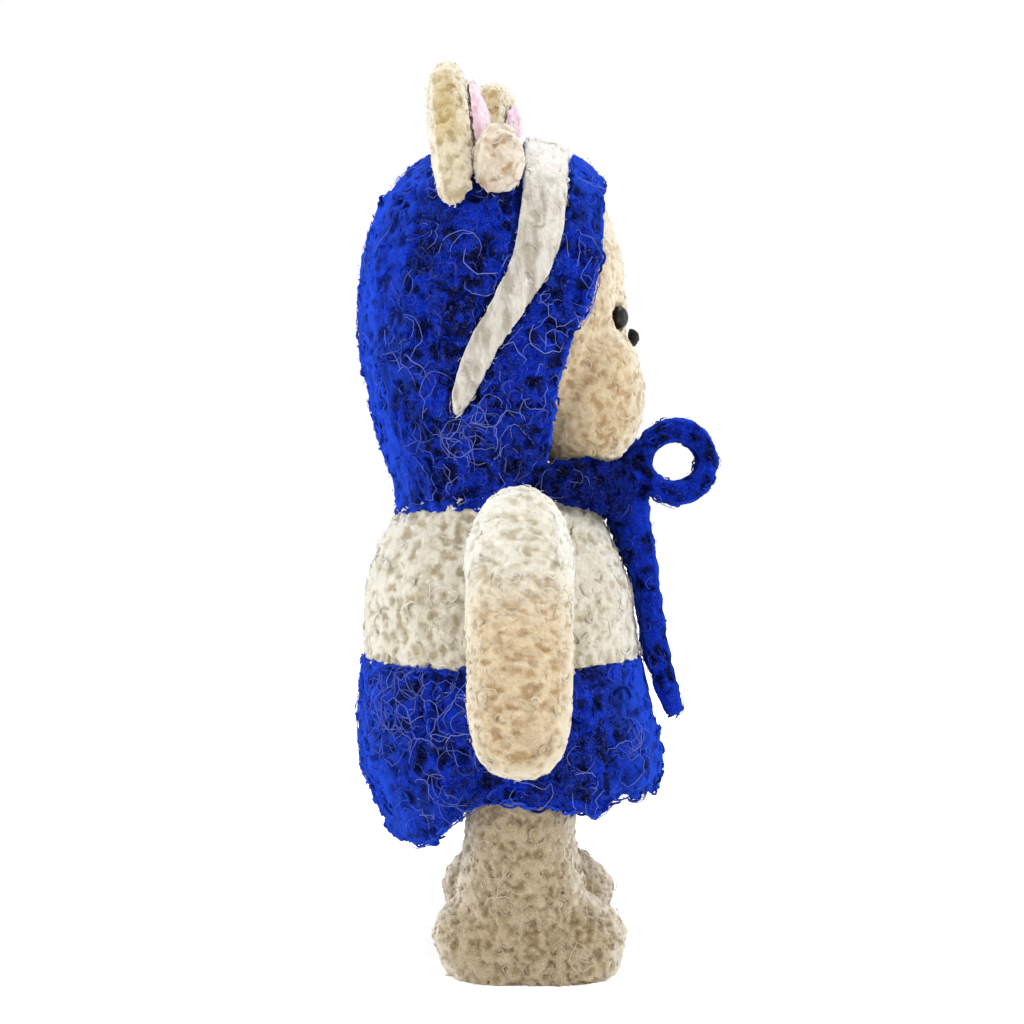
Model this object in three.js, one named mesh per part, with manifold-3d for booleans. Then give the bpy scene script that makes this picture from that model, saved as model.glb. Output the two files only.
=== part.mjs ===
// A needle-felted cat doll in a bonnet, blouse and skirt.
// Millimetres, +Z up. The face looks along -Y and the doll's left side is +X.
import * as THREE from 'three';
import { mergeVertices } from 'three/addons/utils/BufferGeometryUtils.js';
import Module from 'manifold-3d';

const wasm = await Module();
wasm.setup();

// Gives a list of rows their real sizes: each row holds shares of the lengths in sizes
function sized(sizes, rows) {
  return rows.map((row) => {
    const made = { ...row };
    for (const [key, length] of Object.entries(sizes)) made[key] *= length;
    return made;
  });
}

// Clearances
const seatGap = 0.3; // between two felted pieces that touch
const wireGap = 0.25; // around an armature wire in its channel
const swingGap = 0.4; // between a swinging arm and the clothes beside it

// Legs and feet
const legSpacing = 18; // between the middles of the legs
const legMiddle = -1; // the leg's middle, front to back
const legLength = 22; // from the floor to the seat of the body
const legDepth = 12.6;
const legWidth = 12;
const ankleDepth = 15; // where the leg spreads into the foot
const ankleSink = 0.6; // share of the foot's height at which the leg ends in it
const ankleRise = 5.6; // from the top of the foot to the slim part of the leg
const thighDrop = 3; // from the seat down to where the leg starts to round off
const thighShare = 0.9; // the leg's rounded top against its width
const footWidth = 13.2;
const footHeight = 8.7;
const footHalf = 11.3; // half the foot's length, where it is longest
const footShape = sized({ up: footHeight, forward: footHalf, half: footHalf, wide: footWidth / 2 }, [
  { up: 0, forward: 0.115, half: 0.78, wide: 0.92 },
  { up: 0.161, forward: 0.106, half: 0.94, wide: 0.98 },
  { up: 0.448, forward: 0.097, half: 1, wide: 1 },
  { up: 0.69, forward: 0.062, half: 0.894, wide: 0.894 },
  { up: 0.908, forward: 0.027, half: 0.699, wide: 0.699 },
  { up: 1, forward: 0.018, half: 0.496, wide: 0.496 },
]); // height above the floor, middle in front of the leg's, half length and half width

// Body and blouse: height above the seat, middle, half depth and side to side against front to back
const blouseRise = 35.5; // from the seat to the top of the blouse
const blouseHalf = 17.5; // half its depth at the waist
const blouseShape = sized({ up: blouseRise, middle: blouseHalf, half: blouseHalf }, [
  { up: 0.375, middle: 0.074, half: 1, slim: 0.92 },
  { up: 0.499, middle: 0.086, half: 0.977, slim: 0.93 },
  { up: 0.603, middle: 0.097, half: 0.96, slim: 0.93 },
  { up: 0.71, middle: 0.109, half: 0.891, slim: 0.95 },
  { up: 0.817, middle: 0.106, half: 0.789, slim: 1 },
  { up: 0.901, middle: 0.1, half: 0.697, slim: 1.04 },
  { up: 1, middle: 0.091, half: 0.583, slim: 1.04 },
]);
const neckRise = 2.1; // the neck above the blouse
const blouseWall = 1.5;
const seatDrop = 9; // how far the seat's curve rises before the body is full
const seatRings = [0, 0.12, 0.35, 0.7, 1]; // shares of that rise
const seatFlat = 0.25; // the seat's flat middle against the body's width
const neckShare = 0.8; // the neck's top against the blouse's

// Skirt: depth below the waist, middle and half depth, front to back
const skirtFall = 24; // from the waist to below the lowest hem
const skirtHalf = 19.1; // half its depth where it is fullest
const skirtShape = sized({ down: skirtFall, middle: skirtHalf, half: skirtHalf }, [
  { down: 0, middle: 0.068, half: 0.921 },
  { down: 0.179, middle: 0.055, half: 0.958 },
  { down: 0.346, middle: 0.029, half: 0.99 },
  { down: 0.521, middle: -0.003, half: 1 },
  { down: 0.679, middle: -0.013, half: 0.937 },
  { down: 0.833, middle: 0, half: 0.843 },
  { down: 1, middle: 0, half: 0.712 },
]);
const skirtSlimness = 0.95;
const skirtWall = 1.9;
const hemShape = sized({ down: skirtFall }, [
  { angle: 0, down: 0.69 },
  { angle: 18, down: 0.65 },
  { angle: 36, down: 0.635 },
  { angle: 45, down: 0.58 },
  { angle: 54, down: 0.692 },
  { angle: 63, down: 0.692 },
  { angle: 82, down: 0.6 },
  { angle: 97, down: 0.61 },
  { angle: 110, down: 0.67 },
  { angle: 131, down: 0.885 },
  { angle: 158, down: 0.88 },
  { angle: 180, down: 0.84 },
]); // the hem's depth below the waist, at degrees from the front
const hemWave = 0.4; // height of the hem's small waves
const hemWaves = 9;

// Head, face and eyes
const headWidth = 31;
const headDepth = 31.6;
const headHeight = 37.6;
const headMiddle = 1.3; // the head's middle, front to back
const headSink = 0.9; // how far the neck stands up into the head
const headFullness = { around: 2.1, upright: 2.6 }; // 2 is an egg, and more is squarer
const cheekSpacing = 11;
const cheekWidth = 13;
const cheekDepth = 14.6;
const cheekHeight = 17.6;
const cheekFullness = 2.3;
const cheekForward = 10.2; // the cheek's middle in front of the head's
const cheekDrop = 10.2; // the cheek's middle below the head's
const eyeSpacing = 12;
const eyeWidth = 3;
const eyeHeight = 3.5;
const eyeDrop = 1;
const eyeProud = 0.9; // how far an eye stands out of the face
const noseWidth = 3.4;
const noseDepth = 3;
const noseHeight = 2.8;
const noseDrop = 2.6;

// Bonnet
const hoodWall = 1.9;
const capFullness = { around: 2.1, upright: 2.5 };
const collarRise = 23; // from the bonnet's lower edge to where it meets the cap
const collarHalf = 17.3;
const collarShape = sized({ up: collarRise, radius: collarHalf }, [
  { up: 0, radius: 0.746 },
  { up: 0.174, radius: 0.763 },
  { up: 0.326, radius: 0.844 },
  { up: 0.487, radius: 0.913 },
  { up: 0.739, radius: 0.977 },
  { up: 1, radius: 1 },
]);
const collarBack = 0.3; // the collar's middle behind the head's
const collarOverlap = 6.8; // how far the bonnet's collar comes down over the neck
const rimShape = sized({ above: headHeight, front: headDepth }, [
  { above: 0.638, front: 0.43 },
  { above: 0.33, front: 0.386 },
  { above: 0.053, front: 0.354 },
  { above: -0.144, front: 0.253 },
  { above: -0.386, front: 0.19 },
  { above: -0.691, front: 0.171 },
]); // the bonnet's front edge: above and in front of the head's middle
const stripeShape = sized({ above: headHeight, front: headDepth, half: headDepth }, [
  { above: 0.638, front: 0.18, half: 0.089 },
  { above: 0.247, front: 0.152, half: 0.085 },
  { above: 0.059, front: 0.095, half: 0.079 },
  { above: -0.165, front: -0.066, half: 0.063 },
  { above: -0.351, front: -0.158, half: 0.038 },
]); // the white stripe: middle line and half width, as seen from the side
const stripeThickness = 1.1;
const stripeProud = 0.3;

// Ears: where they stand on the head and where their tips are
const earWidth = 12.4;
const earThickness = 5.1;
const earBase = { apart: 24.6, behind: 4.4, above: 9.8 };
const rightEarTip = { apart: 14.6, behind: 6.1, above: 27.6 };
const leftEarTip = { apart: 14.6, behind: 0.4, above: 31.6 };
const rightEarTurn = 10; // degrees, towards the doll's right
const leftEarTurn = 18;
const earRoot = 1.1; // the ear's whole height, with what the bonnet hides, against what stands out
const earFullness = { around: 3.4, upright: 3.2 };
const liningShare = 0.62; // the pink lining's width against the ear's
const liningHeight = 0.78; // shares of the ear's length
const liningMiddle = 0.52;
const liningProud = 1.9;
const foldSize = { width: 7, depth: 6.2, height: 9.6 };
const foldPlace = { apart: 29, above: 14.8, rightBehind: 0.2, leftBehind: -1.6 };

// Bow
const knotDepth = 5.6;
const knotWidth = 6.4;
const knotHeight = 10.2;
const knotDrop = 19.8; // the knot's middle below the head's
const knotForward = 15.9; // the knot's middle in front of the head's
const tieThickness = 2.8;
const tieHeight = 6.2; // halfway along
const tieFullness = [0.65, 1.45]; // a tie's height against tieHeight, at the bonnet and at the knot
const tiePath = [
  { aside: 12.2, forward: 4.6, rise: -0.9 },
  { aside: 10.2, forward: 9.6, rise: -1.2 },
  { aside: 6.2, forward: 13.6, rise: -1.5 },
  { aside: 1.5, forward: 15.9, rise: -1.6 },
]; // from under the bonnet's corner to the knot: in front of the head's middle, and above the knot's
const rightLoop = { radius: 4, thickness: 3, forward: 5.7, aside: 2, rise: 1.7 };
const leftLoop = { radius: 4, thickness: 3, forward: 5.7, aside: 2, rise: 1.9 };
const loopSplay = 0.05; // how far a loop turns aside on its way forward
const tailThickness = 2.9; // at its end
const tailFullness = 5.4; // at the knot
const rightTailDrop = 29.2; // from the knot's middle to the tail's end
const leftTailDrop = 26;
const tailForward = 0.4; // the tail's top in front of the knot's middle
const tailShares = [0.09, 0.2, 0.36, 0.52, 0.68, 0.84, 1]; // where a tail's middle line is set
const tailSettles = 0.3; // share of the drop from which a tail lies against the clothes
const tailSlims = [0.12, 0.55]; // shares of the drop between which a tail gets slimmer
const tailStart = 1.5; // from the middle line, at the knot
const tailSpread = 3.4; // from the middle line, at the end

// Arms
const armLength = 31.4;
const armDepth = 11.6;
const armThickness = 10.6;
const armLean = 15; // degrees, outwards
const armMiddle = -0.8; // the arm's middle, front to back
const shoulderDrop = 5.4; // from the top of the arm to its pivot
const shoulderBelowNeck = 8.6;
const sleeveLength = 14;
const sleeveWall = 0.9;

// Armature
const wireRadius = 0.6;
const pivotDiscRadius = 2.2;
const pivotDiscThickness = 0.8;
const spineMiddle = 2.9; // behind the head's middle
const spineDepth = 26; // into the body
const spineRise = 22; // into the head
const legWireRise = 7; // above the seat
const legWireFloor = 3; // above the floor

// Fineness of the meshes
const roundSides = 20;
const roundRings = 10;
const small = { sides: 10, rings: 6 };
const cordSides = 8;
const cheekSides = 16;
const earSides = 14;
const armSides = 16;
const skirtSides = 40;
const knotSides = 12;
const knotRings = 8;
const ringSteps = 16; // round a bow loop
const wireSides = 10;
const discSides = 16;
const skirtRows = 5;
const tieSteps = 7;
const tailSteps = 8;
const rimSteps = 14;
const stripeSteps = 10;

// Heights that follow from the sizes above
const blouseTop = legLength + blouseShape[blouseShape.length - 1].up;
const neckHeight = blouseTop + neckRise;
const waistHeight = legLength + blouseShape[0].up;
const headCentre = neckHeight - headSink + headHeight / 2;
const shoulderHeight = neckHeight - shoulderBelowNeck;
const knotCentre = new THREE.Vector3(0, headMiddle - knotForward, headCentre - knotDrop);

// Colours
const colours = {
  blue: { color: 0x1a35c8, roughness: 0.95 },
  cream: { color: 0xd9c39b, roughness: 0.95 },
  ivory: { color: 0xe6dcc0, roughness: 0.95 },
  white: { color: 0xe4e0d2, roughness: 0.95 },
  pink: { color: 0xecc2d6, roughness: 0.95 },
  bead: { color: 0x15110f, roughness: 0.25 },
  nose: { color: 0x3a3637, roughness: 0.8 },
  wire: { color: 0x9a9a9a, roughness: 0.4, metalness: 0.9 },
};

// Meshes and solids
function removeFlatTriangles(geometry) {
  const index = Array.from(geometry.index.array);
  const kept = [];
  for (let i = 0; i < index.length; i += 3) {
    const [a, b, c] = index.slice(i, i + 3);
    if (a !== b && b !== c && c !== a) kept.push(a, b, c);
  }
  geometry.setIndex(kept);
  return geometry;
}

function joined(geometry) {
  const plain = geometry.clone();
  plain.deleteAttribute('normal');
  plain.deleteAttribute('uv');
  return removeFlatTriangles(mergeVertices(plain, 1e-4));
}

function solid(geometry) {
  const plain = joined(geometry);
  const made = new wasm.Manifold(new wasm.Mesh({
    numProp: 3,
    vertProperties: new Float32Array(plain.attributes.position.array),
    triVerts: new Uint32Array(plain.index.array),
  }));
  return made.volume() < 0 ? solid(turnedOut(plain)) : made;
}

function turnedOut(geometry) {
  const index = Array.from(geometry.index.array);
  for (let i = 0; i < index.length; i += 3) {
    [index[i], index[i + 1]] = [index[i + 1], index[i]];
  }
  geometry.setIndex(index);
  return geometry;
}

function geometryOf(manifold) {
  const mesh = manifold.getMesh();
  const geometry = new THREE.BufferGeometry();
  geometry.setAttribute('position', new THREE.BufferAttribute(new Float32Array(mesh.vertProperties), 3));
  geometry.setIndex(Array.from(mesh.triVerts));
  geometry.computeVertexNormals();
  return geometry;
}

function cut(body, ...cutters) {
  return cutters.reduce((left, cutter) => left.subtract(cutter), body);
}

// Moves every point of a geometry by a rule
function warped(geometry, rule) {
  const position = geometry.attributes.position;
  const point = new THREE.Vector3();
  for (let i = 0; i < position.count; i += 1) {
    point.fromBufferAttribute(position, i);
    rule(point);
    position.setXYZ(i, point.x, point.y, point.z);
  }
  return geometry;
}

// A rounded form about the origin: around sets how square it is seen from above, upright from the side
function pebble({
  width, depth, height, around = 2, upright = 2, grow = 0, sides = roundSides, rings = roundRings,
}) {
  const ball = new THREE.SphereGeometry(1, sides, rings).rotateX(Math.PI / 2);
  return warped(ball, (point) => {
    const flat = (Math.abs(point.x) ** around + Math.abs(point.y) ** around) ** (1 / around);
    const reach = (flat ** upright + Math.abs(point.z) ** upright) ** (1 / upright);
    point.divideScalar(reach);
    point.x *= width / 2 + grow;
    point.y *= depth / 2 + grow;
    point.z *= height / 2 + grow;
  });
}

// Reads a value of a shape list at any height, with smooth steps between its points
function valueAt(list, place, key, where) {
  const ordered = [...list].sort((a, b) => a[place] - b[place]);
  if (where <= ordered[0][place]) return ordered[0][key];
  for (let i = 1; i < ordered.length; i += 1) {
    const [low, high] = [ordered[i - 1], ordered[i]];
    if (where <= high[place]) {
      const share = (where - low[place]) / (high[place] - low[place]);
      return THREE.MathUtils.lerp(low[key], high[key], share);
    }
  }
  return ordered[ordered.length - 1][key];
}

// A closed form through level rings, each { z, middle, halfDepth, halfWidth }
function loft(rings, sides = roundSides) {
  const outline = [new THREE.Vector2(0, 0)];
  rings.forEach((ring, i) => outline.push(new THREE.Vector2(1, i + 1)));
  outline.push(new THREE.Vector2(0, rings.length + 1));
  const lathe = new THREE.LatheGeometry(outline, sides).rotateX(Math.PI / 2);
  const last = rings.length - 1;
  return warped(lathe, (point) => {
    const step = Math.round(point.z) - 1;
    const ring = rings[THREE.MathUtils.clamp(step, 0, last)];
    point.x *= ring.halfWidth;
    point.y = ring.middle + point.y * ring.halfDepth;
    point.z = ring.z;
  });
}

function barAlongX(radius, from, to, sides = wireSides) {
  const bar = new THREE.CylinderGeometry(radius, radius, to - from, sides).rotateZ(Math.PI / 2);
  return bar.translate((from + to) / 2, 0, 0);
}

function postAlongZ(radius, from, to, sides = wireSides) {
  const post = new THREE.CylinderGeometry(radius, radius, to - from, sides).rotateX(Math.PI / 2);
  return post.translate(0, 0, (from + to) / 2);
}

function slab(low, high) {
  const size = high.clone().sub(low);
  const middle = high.clone().add(low).multiplyScalar(0.5);
  return solid(new THREE.BoxGeometry(size.x, size.y, size.z).translate(middle.x, middle.y, middle.z));
}

const far = 200;

function below(z) {
  return slab(new THREE.Vector3(-far, -far, -far), new THREE.Vector3(far, far, z));
}

function above(z) {
  return slab(new THREE.Vector3(-far, -far, z), new THREE.Vector3(far, far, far));
}

// A side view outline of (y, z) points, made as wide as the doll
function acrossTheDoll(points) {
  const outline = new THREE.Shape(points.map(([y, z]) => new THREE.Vector2(y, z)));
  const bar = new THREE.ExtrudeGeometry(outline, { depth: far, bevelEnabled: false, steps: 1 });
  const turn = new THREE.Matrix4().makeBasis(
    new THREE.Vector3(0, 1, 0),
    new THREE.Vector3(0, 0, 1),
    new THREE.Vector3(1, 0, 0),
  );
  return solid(bar.translate(0, 0, -far / 2).applyMatrix4(turn));
}

// Points of a smooth curve through a few (y, z) points
function smooth(points, count) {
  const curve = new THREE.SplineCurve(points.map(([y, z]) => new THREE.Vector2(y, z)));
  return curve.getPoints(count).map((point) => [point.x, point.y]);
}

// The body and its clothes
function blouseRing(z, grow = 0) {
  const up = z - legLength;
  const half = valueAt(blouseShape, 'up', 'half', up);
  return {
    z,
    middle: valueAt(blouseShape, 'up', 'middle', up),
    halfDepth: half + grow,
    halfWidth: half * valueAt(blouseShape, 'up', 'slim', up) + grow,
  };
}

function skirtRing(z, grow = 0) {
  const down = waistHeight - z;
  const half = valueAt(skirtShape, 'down', 'half', down);
  const flare = THREE.MathUtils.clamp(down / skirtShape[2].down, 0, 1);
  const slimness = THREE.MathUtils.lerp(blouseShape[0].slim, skirtSlimness, flare);
  return {
    z,
    middle: valueAt(skirtShape, 'down', 'middle', down),
    halfDepth: half + grow,
    halfWidth: half * slimness + grow,
  };
}

function shrunk(ring, share) {
  return { ...ring, halfDepth: ring.halfDepth * share, halfWidth: ring.halfWidth * share };
}

function coreForm(grow = 0) {
  const rings = [];
  const inSkirt = -skirtWall - seatGap + grow;
  const inBlouse = -blouseWall - seatGap + grow;
  for (const share of seatRings) {
    const round = Math.sqrt(1 - (1 - share) ** 2);
    const ring = skirtRing(legLength + seatDrop * share - grow * (1 - share), inSkirt);
    rings.push(shrunk(ring, Math.max(round, seatFlat)));
  }
  for (const shape of blouseShape) {
    rings.push(blouseRing(legLength + shape.up, inBlouse));
  }
  const top = rings[rings.length - 1];
  rings.push({ ...shrunk(top, neckShare), z: neckHeight + grow });
  return loft(rings);
}

function blouseForm(grow = 0) {
  const rings = blouseShape.map((shape) => blouseRing(legLength + shape.up, grow));
  rings[0].z -= grow;
  return loft(rings);
}

function makeCore() {
  const body = cut(solid(coreForm()), spineChannel, shoulderChannel, legChannel(1), legChannel(-1));
  return body;
}

function makeBlouse() {
  const shell = solid(blouseForm()).subtract(solid(coreForm(seatGap)));
  return cut(shell, below(waistHeight + seatGap), above(blouseTop - seatGap), shoulderChannel);
}

// The hem's depth below the waist at an angle from the front
function hemDepth(angle) {
  const round = Math.abs(THREE.MathUtils.euclideanModulo(angle + Math.PI, 2 * Math.PI) - Math.PI);
  const wave = hemWave * Math.cos(hemWaves * angle);
  return valueAt(hemShape, 'angle', 'down', THREE.MathUtils.radToDeg(round)) + wave;
}

function makeSkirt() {
  const rows = skirtRows;
  const outer = 2;
  const inner = 1;
  const outline = [];
  for (let i = 0; i <= rows; i += 1) outline.push(new THREE.Vector2(outer, i));
  for (let i = rows; i >= 0; i -= 1) outline.push(new THREE.Vector2(inner, i));
  outline.push(outline[0].clone());
  const lathe = new THREE.LatheGeometry(outline, skirtSides);
  const wrap = warped(lathe, (point) => {
    const layer = Math.hypot(point.x, point.z);
    const angle = Math.atan2(point.x, point.z);
    const share = point.y / rows;
    const depth = share * hemDepth(angle);
    const thin = layer > (outer + inner) / 2 ? 0 : -skirtWall;
    const ring = skirtRing(waistHeight - depth, thin);
    point.x = Math.sin(angle) * ring.halfWidth;
    point.y = ring.middle - Math.cos(angle) * ring.halfDepth;
    point.z = ring.z;
  });
  return solid(wrap).subtract(solid(coreForm(seatGap)));
}

// Legs and feet
function footForm(grow = 0) {
  const last = footShape.length - 1;
  const rings = footShape.map((shape, i) => ({
    z: shape.up + (i === last ? grow : 0),
    middle: legMiddle - shape.forward,
    halfDepth: shape.half + grow,
    halfWidth: shape.wide + grow,
  }));
  return loft(rings);
}

function legForm() {
  const full = { middle: legMiddle, halfDepth: legDepth / 2, halfWidth: legWidth / 2 };
  const ankle = { middle: legMiddle, halfDepth: ankleDepth / 2, halfWidth: footWidth / 2 - seatGap };
  const rings = [
    { ...ankle, z: footHeight * ankleSink },
    { ...ankle, z: footHeight },
    { ...full, halfDepth: (ankleDepth + legDepth) / 4, z: footHeight + ankleRise / 2 },
    { ...full, z: footHeight + ankleRise },
    { ...full, z: legLength - thighDrop },
    { ...shrunk(full, thighShare), z: legLength + seatDrop / 2 },
  ];
  return loft(rings);
}

function makeFoot() {
  const channel = postAlongZ(wireRadius + wireGap, legWireFloor - wireGap, far).translate(0, legMiddle, 0);
  return cut(solid(footForm()), solid(channel));
}

function makeLeg(side) {
  const core = solid(coreForm(seatGap).translate(-side * legSpacing / 2, 0, 0));
  const channel = postAlongZ(wireRadius + wireGap, -1, far).translate(0, legMiddle, 0);
  return cut(solid(legForm()), solid(footForm(seatGap)), core, solid(channel));
}

// Head and face
function headForm(grow = 0) {
  const form = pebble({
    ...headFullness, width: headWidth, depth: headDepth, height: headHeight, grow,
  });
  return form.translate(0, headMiddle, headCentre);
}

// How far in front of the head's middle its face lies
function faceReach(x, z) {
  const wide = Math.abs(x) / (headWidth / 2);
  const high = Math.abs(z - headCentre) / (headHeight / 2);
  const { around, upright } = headFullness;
  const left = (1 - high ** upright) ** (1 / upright);
  return (headDepth / 2) * Math.max(left ** around - wide ** around, 0) ** (1 / around);
}

function eyeForm(side, grow = 0) {
  const z = headCentre - eyeDrop;
  const y = headMiddle - faceReach(eyeSpacing / 2, z) - eyeProud + eyeWidth / 2;
  const bead = pebble({ width: eyeWidth, depth: eyeWidth, height: eyeHeight, grow, ...small });
  return bead.translate(side * eyeSpacing / 2, y, z);
}

function cheekForm(side, grow = 0) {
  const size = { width: cheekWidth, depth: cheekDepth, height: cheekHeight };
  const form = pebble({ ...size, upright: cheekFullness, grow, sides: cheekSides });
  return form.translate(side * cheekSpacing / 2, headMiddle - cheekForward, headCentre - cheekDrop);
}

function noseForm() {
  const z = headCentre - noseDrop;
  const y = headMiddle - faceReach(0, z) - noseDepth / 4;
  const form = pebble({ width: noseWidth, depth: noseDepth, height: noseHeight, ...small });
  return form.translate(0, y, z);
}

function makeHead() {
  return cut(
    solid(headForm()),
    solid(coreForm(seatGap)),
    spineChannel,
    solid(eyeForm(1, seatGap)),
    solid(eyeForm(-1, seatGap)),
  );
}

function makeCheek(side) {
  const form = cut(solid(cheekForm(side)), solid(headForm(seatGap)), solid(eyeForm(side, seatGap)));
  const middle = slab(
    new THREE.Vector3(side > 0 ? -far : -seatGap / 2, -far, -far),
    new THREE.Vector3(side > 0 ? seatGap / 2 : far, far, far),
  );
  return cut(form, middle, hoodOuter(seatGap), knotSolid(seatGap));
}

function makeNose() {
  return cut(
    solid(noseForm()),
    solid(headForm(seatGap)),
    solid(cheekForm(1, seatGap)),
    solid(cheekForm(-1, seatGap)),
  );
}

// Bonnet
function hoodCap(grow) {
  const wall = hoodWall + seatGap + grow;
  const form = pebble({
    ...capFullness, width: headWidth, depth: headDepth, height: headHeight, grow: wall,
  });
  return form.translate(0, headMiddle, headCentre);
}

function collarForm(grow) {
  const foot = neckHeight - collarOverlap;
  const rings = collarShape.map((shape) => ({
    z: foot + shape.up,
    middle: headMiddle + collarBack,
    halfDepth: shape.radius + grow,
    halfWidth: shape.radius + grow,
  }));
  return loft(rings);
}

function faceOpening() {
  const [lowest, highest] = [headCentre - far / 2, headCentre + far / 2];
  const edge = smooth(rimShape.map((p) => [headMiddle - p.front, headCentre + p.above]), rimSteps);
  const corner = edge[edge.length - 1][0];
  return acrossTheDoll([[-far, lowest], [-far, highest], ...edge, [corner, lowest]]);
}

function hoodOuter(grow = 0) {
  return solid(hoodCap(grow)).add(solid(collarForm(grow))).subtract(faceOpening());
}

function stripeOutline(grow = 0) {
  const edge = (side) => smooth(
    stripeShape.map((p) => [headMiddle - p.front + side * (p.half + grow), headCentre + p.above]),
    stripeSteps,
  );
  const front = edge(-1);
  const back = edge(1);
  front[front.length - 1][1] -= grow;
  back[back.length - 1][1] -= grow;
  return acrossTheDoll([...front, ...back.reverse()]);
}

function makeHood() {
  const inside = solid(collarForm(-hoodWall)).subtract(above(headCentre));
  const slot = stripeOutline(seatGap).subtract(solid(hoodCap(-stripeThickness + stripeProud - seatGap)));
  return cut(
    hoodOuter(),
    solid(headForm(seatGap)),
    inside,
    solid(blouseForm(seatGap)),
    solid(coreForm(seatGap)),
    slot,
  );
}

function makeStripe() {
  const skin = solid(hoodCap(stripeProud)).subtract(solid(hoodCap(-stripeThickness + stripeProud)));
  return skin.intersect(stripeOutline());
}

// Ears
function earPlace(side) {
  const tip = side < 0 ? rightEarTip : leftEarTip;
  const turn = THREE.MathUtils.degToRad(side < 0 ? rightEarTurn : leftEarTurn);
  const [foot, top] = [earBase, tip].map(
    (p) => new THREE.Vector3(side * p.apart / 2, headMiddle + p.behind, headCentre + p.above),
  );
  const up = top.clone().sub(foot);
  const length = up.length();
  up.normalize();
  const back = new THREE.Vector3(Math.sin(turn), Math.cos(turn), 0);
  const across = new THREE.Vector3().crossVectors(back, up).normalize();
  back.crossVectors(up, across);
  const place = new THREE.Matrix4().makeBasis(across, back, up);
  place.setPosition(foot);
  return { place, length };
}

function earForm(side, grow = 0) {
  const { place, length } = earPlace(side);
  const form = pebble({
    ...earFullness, width: earWidth, depth: earThickness, height: length * earRoot, grow, sides: earSides,
  });
  return form.translate(0, 0, length * (1 - earRoot / 2)).applyMatrix4(place);
}

function liningForm(side, grow = 0) {
  const { place, length } = earPlace(side);
  const form = pebble({
    width: earWidth * liningShare,
    depth: earThickness / 2 + liningProud,
    height: length * liningHeight,
    grow,
    ...small,
  });
  return form.translate(0, -(earThickness / 2 + liningProud) / 2, length * liningMiddle).applyMatrix4(place);
}

function foldForm(side) {
  const form = pebble({ ...foldSize, ...small });
  const behind = side < 0 ? foldPlace.rightBehind : foldPlace.leftBehind;
  return form.translate(side * foldPlace.apart / 2, headMiddle + behind, headCentre + foldPlace.above);
}

function makeEar(side) {
  return cut(solid(earForm(side)), solid(hoodCap(stripeProud + seatGap)));
}

function makeLining(side) {
  return cut(solid(liningForm(side)), solid(earForm(side, seatGap)), solid(hoodCap(stripeProud + seatGap)));
}

function makeFold(side) {
  return cut(
    solid(foldForm(side)),
    solid(earForm(side, seatGap)),
    solid(liningForm(side, seatGap)),
    solid(hoodCap(stripeProud + seatGap)),
  );
}

// Bow
function knotSolid(grow = 0) {
  const form = pebble({
    width: knotWidth, depth: knotDepth, height: knotHeight, grow, sides: knotSides, rings: knotRings,
  });
  return solid(form.translate(knotCentre.x, knotCentre.y, knotCentre.z));
}

function loopForm(side) {
  const size = side < 0 ? rightLoop : leftLoop;
  const ring = new THREE.TorusGeometry(size.radius, size.thickness / 2, cordSides, ringSteps);
  const reach = new THREE.Vector3(side * loopSplay, -1, 0).normalize();
  const up = new THREE.Vector3(0, 0, 1);
  const through = new THREE.Vector3().crossVectors(reach, up);
  const place = new THREE.Matrix4().makeBasis(reach, up, through);
  place.setPosition(
    knotCentre.x + side * size.aside,
    knotCentre.y - size.forward,
    knotCentre.z + size.rise,
  );
  return ring.applyMatrix4(place);
}

// A felted cord along a path; tall is its size square to the path's first bend
function cord(points, thick, tall, steps) {
  const outline = new THREE.Shape();
  for (let i = 0; i < cordSides; i += 1) {
    const angle = (i / cordSides) * 2 * Math.PI;
    const [x, y] = [Math.cos(angle) * tall / 2, Math.sin(angle) * thick / 2];
    if (i === 0) outline.moveTo(x, y);
    else outline.lineTo(x, y);
  }
  const path = new THREE.CatmullRomCurve3(points);
  return new THREE.ExtrudeGeometry(outline, { steps, extrudePath: path, bevelEnabled: false });
}

// The front of the clothes on the middle line
function clothesFront(z) {
  const ring = z > waistHeight ? blouseRing(z) : skirtRing(z);
  return ring.middle - ring.halfDepth;
}

// How deep a tail is against its end, at a share of its drop
function tailFull(share) {
  const slimmed = THREE.MathUtils.smoothstep(share, ...tailSlims);
  return THREE.MathUtils.lerp(tailFullness / tailThickness, 1, slimmed);
}

// A tail's middle line, from the knot down over the front of the clothes
function tailLine(side, share) {
  const z = knotCentre.z - share * tailDrop(side);
  const hanging = clothesFront(z) - tailThickness * tailFull(share) / 2 - seatGap;
  const y = THREE.MathUtils.lerp(knotCentre.y - tailForward, hanging, Math.min(share / tailSettles, 1));
  return new THREE.Vector3(side * THREE.MathUtils.lerp(tailStart, tailSpread, share), y, z);
}

function tailDrop(side) {
  return side < 0 ? rightTailDrop : leftTailDrop;
}

function tailForm(side, grow = 0) {
  const points = tailShares.map((share) => tailLine(side, share));
  const thick = tailThickness + 2 * grow;
  return warped(cord(points, thick, thick, tailSteps), (point) => {
    const share = (knotCentre.z - point.z) / tailDrop(side);
    const middle = tailLine(side, share);
    point.y = middle.y + (point.y - middle.y) * tailFull(share);
  });
}

function tieForm(side) {
  const points = tiePath.map(
    (p) => new THREE.Vector3(side * p.aside, headMiddle - p.forward, knotCentre.z + p.rise),
  );
  const [foot, knot] = [points[0], points[points.length - 1]];
  return warped(cord(points, tieThickness, tieHeight, tieSteps), (point) => {
    const share = THREE.MathUtils.clamp((point.y - foot.y) / (knot.y - foot.y), 0, 1);
    const middle = THREE.MathUtils.lerp(foot.z, knot.z, share);
    point.z = middle + (point.z - middle) * THREE.MathUtils.lerp(...tieFullness, share);
  });
}

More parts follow.
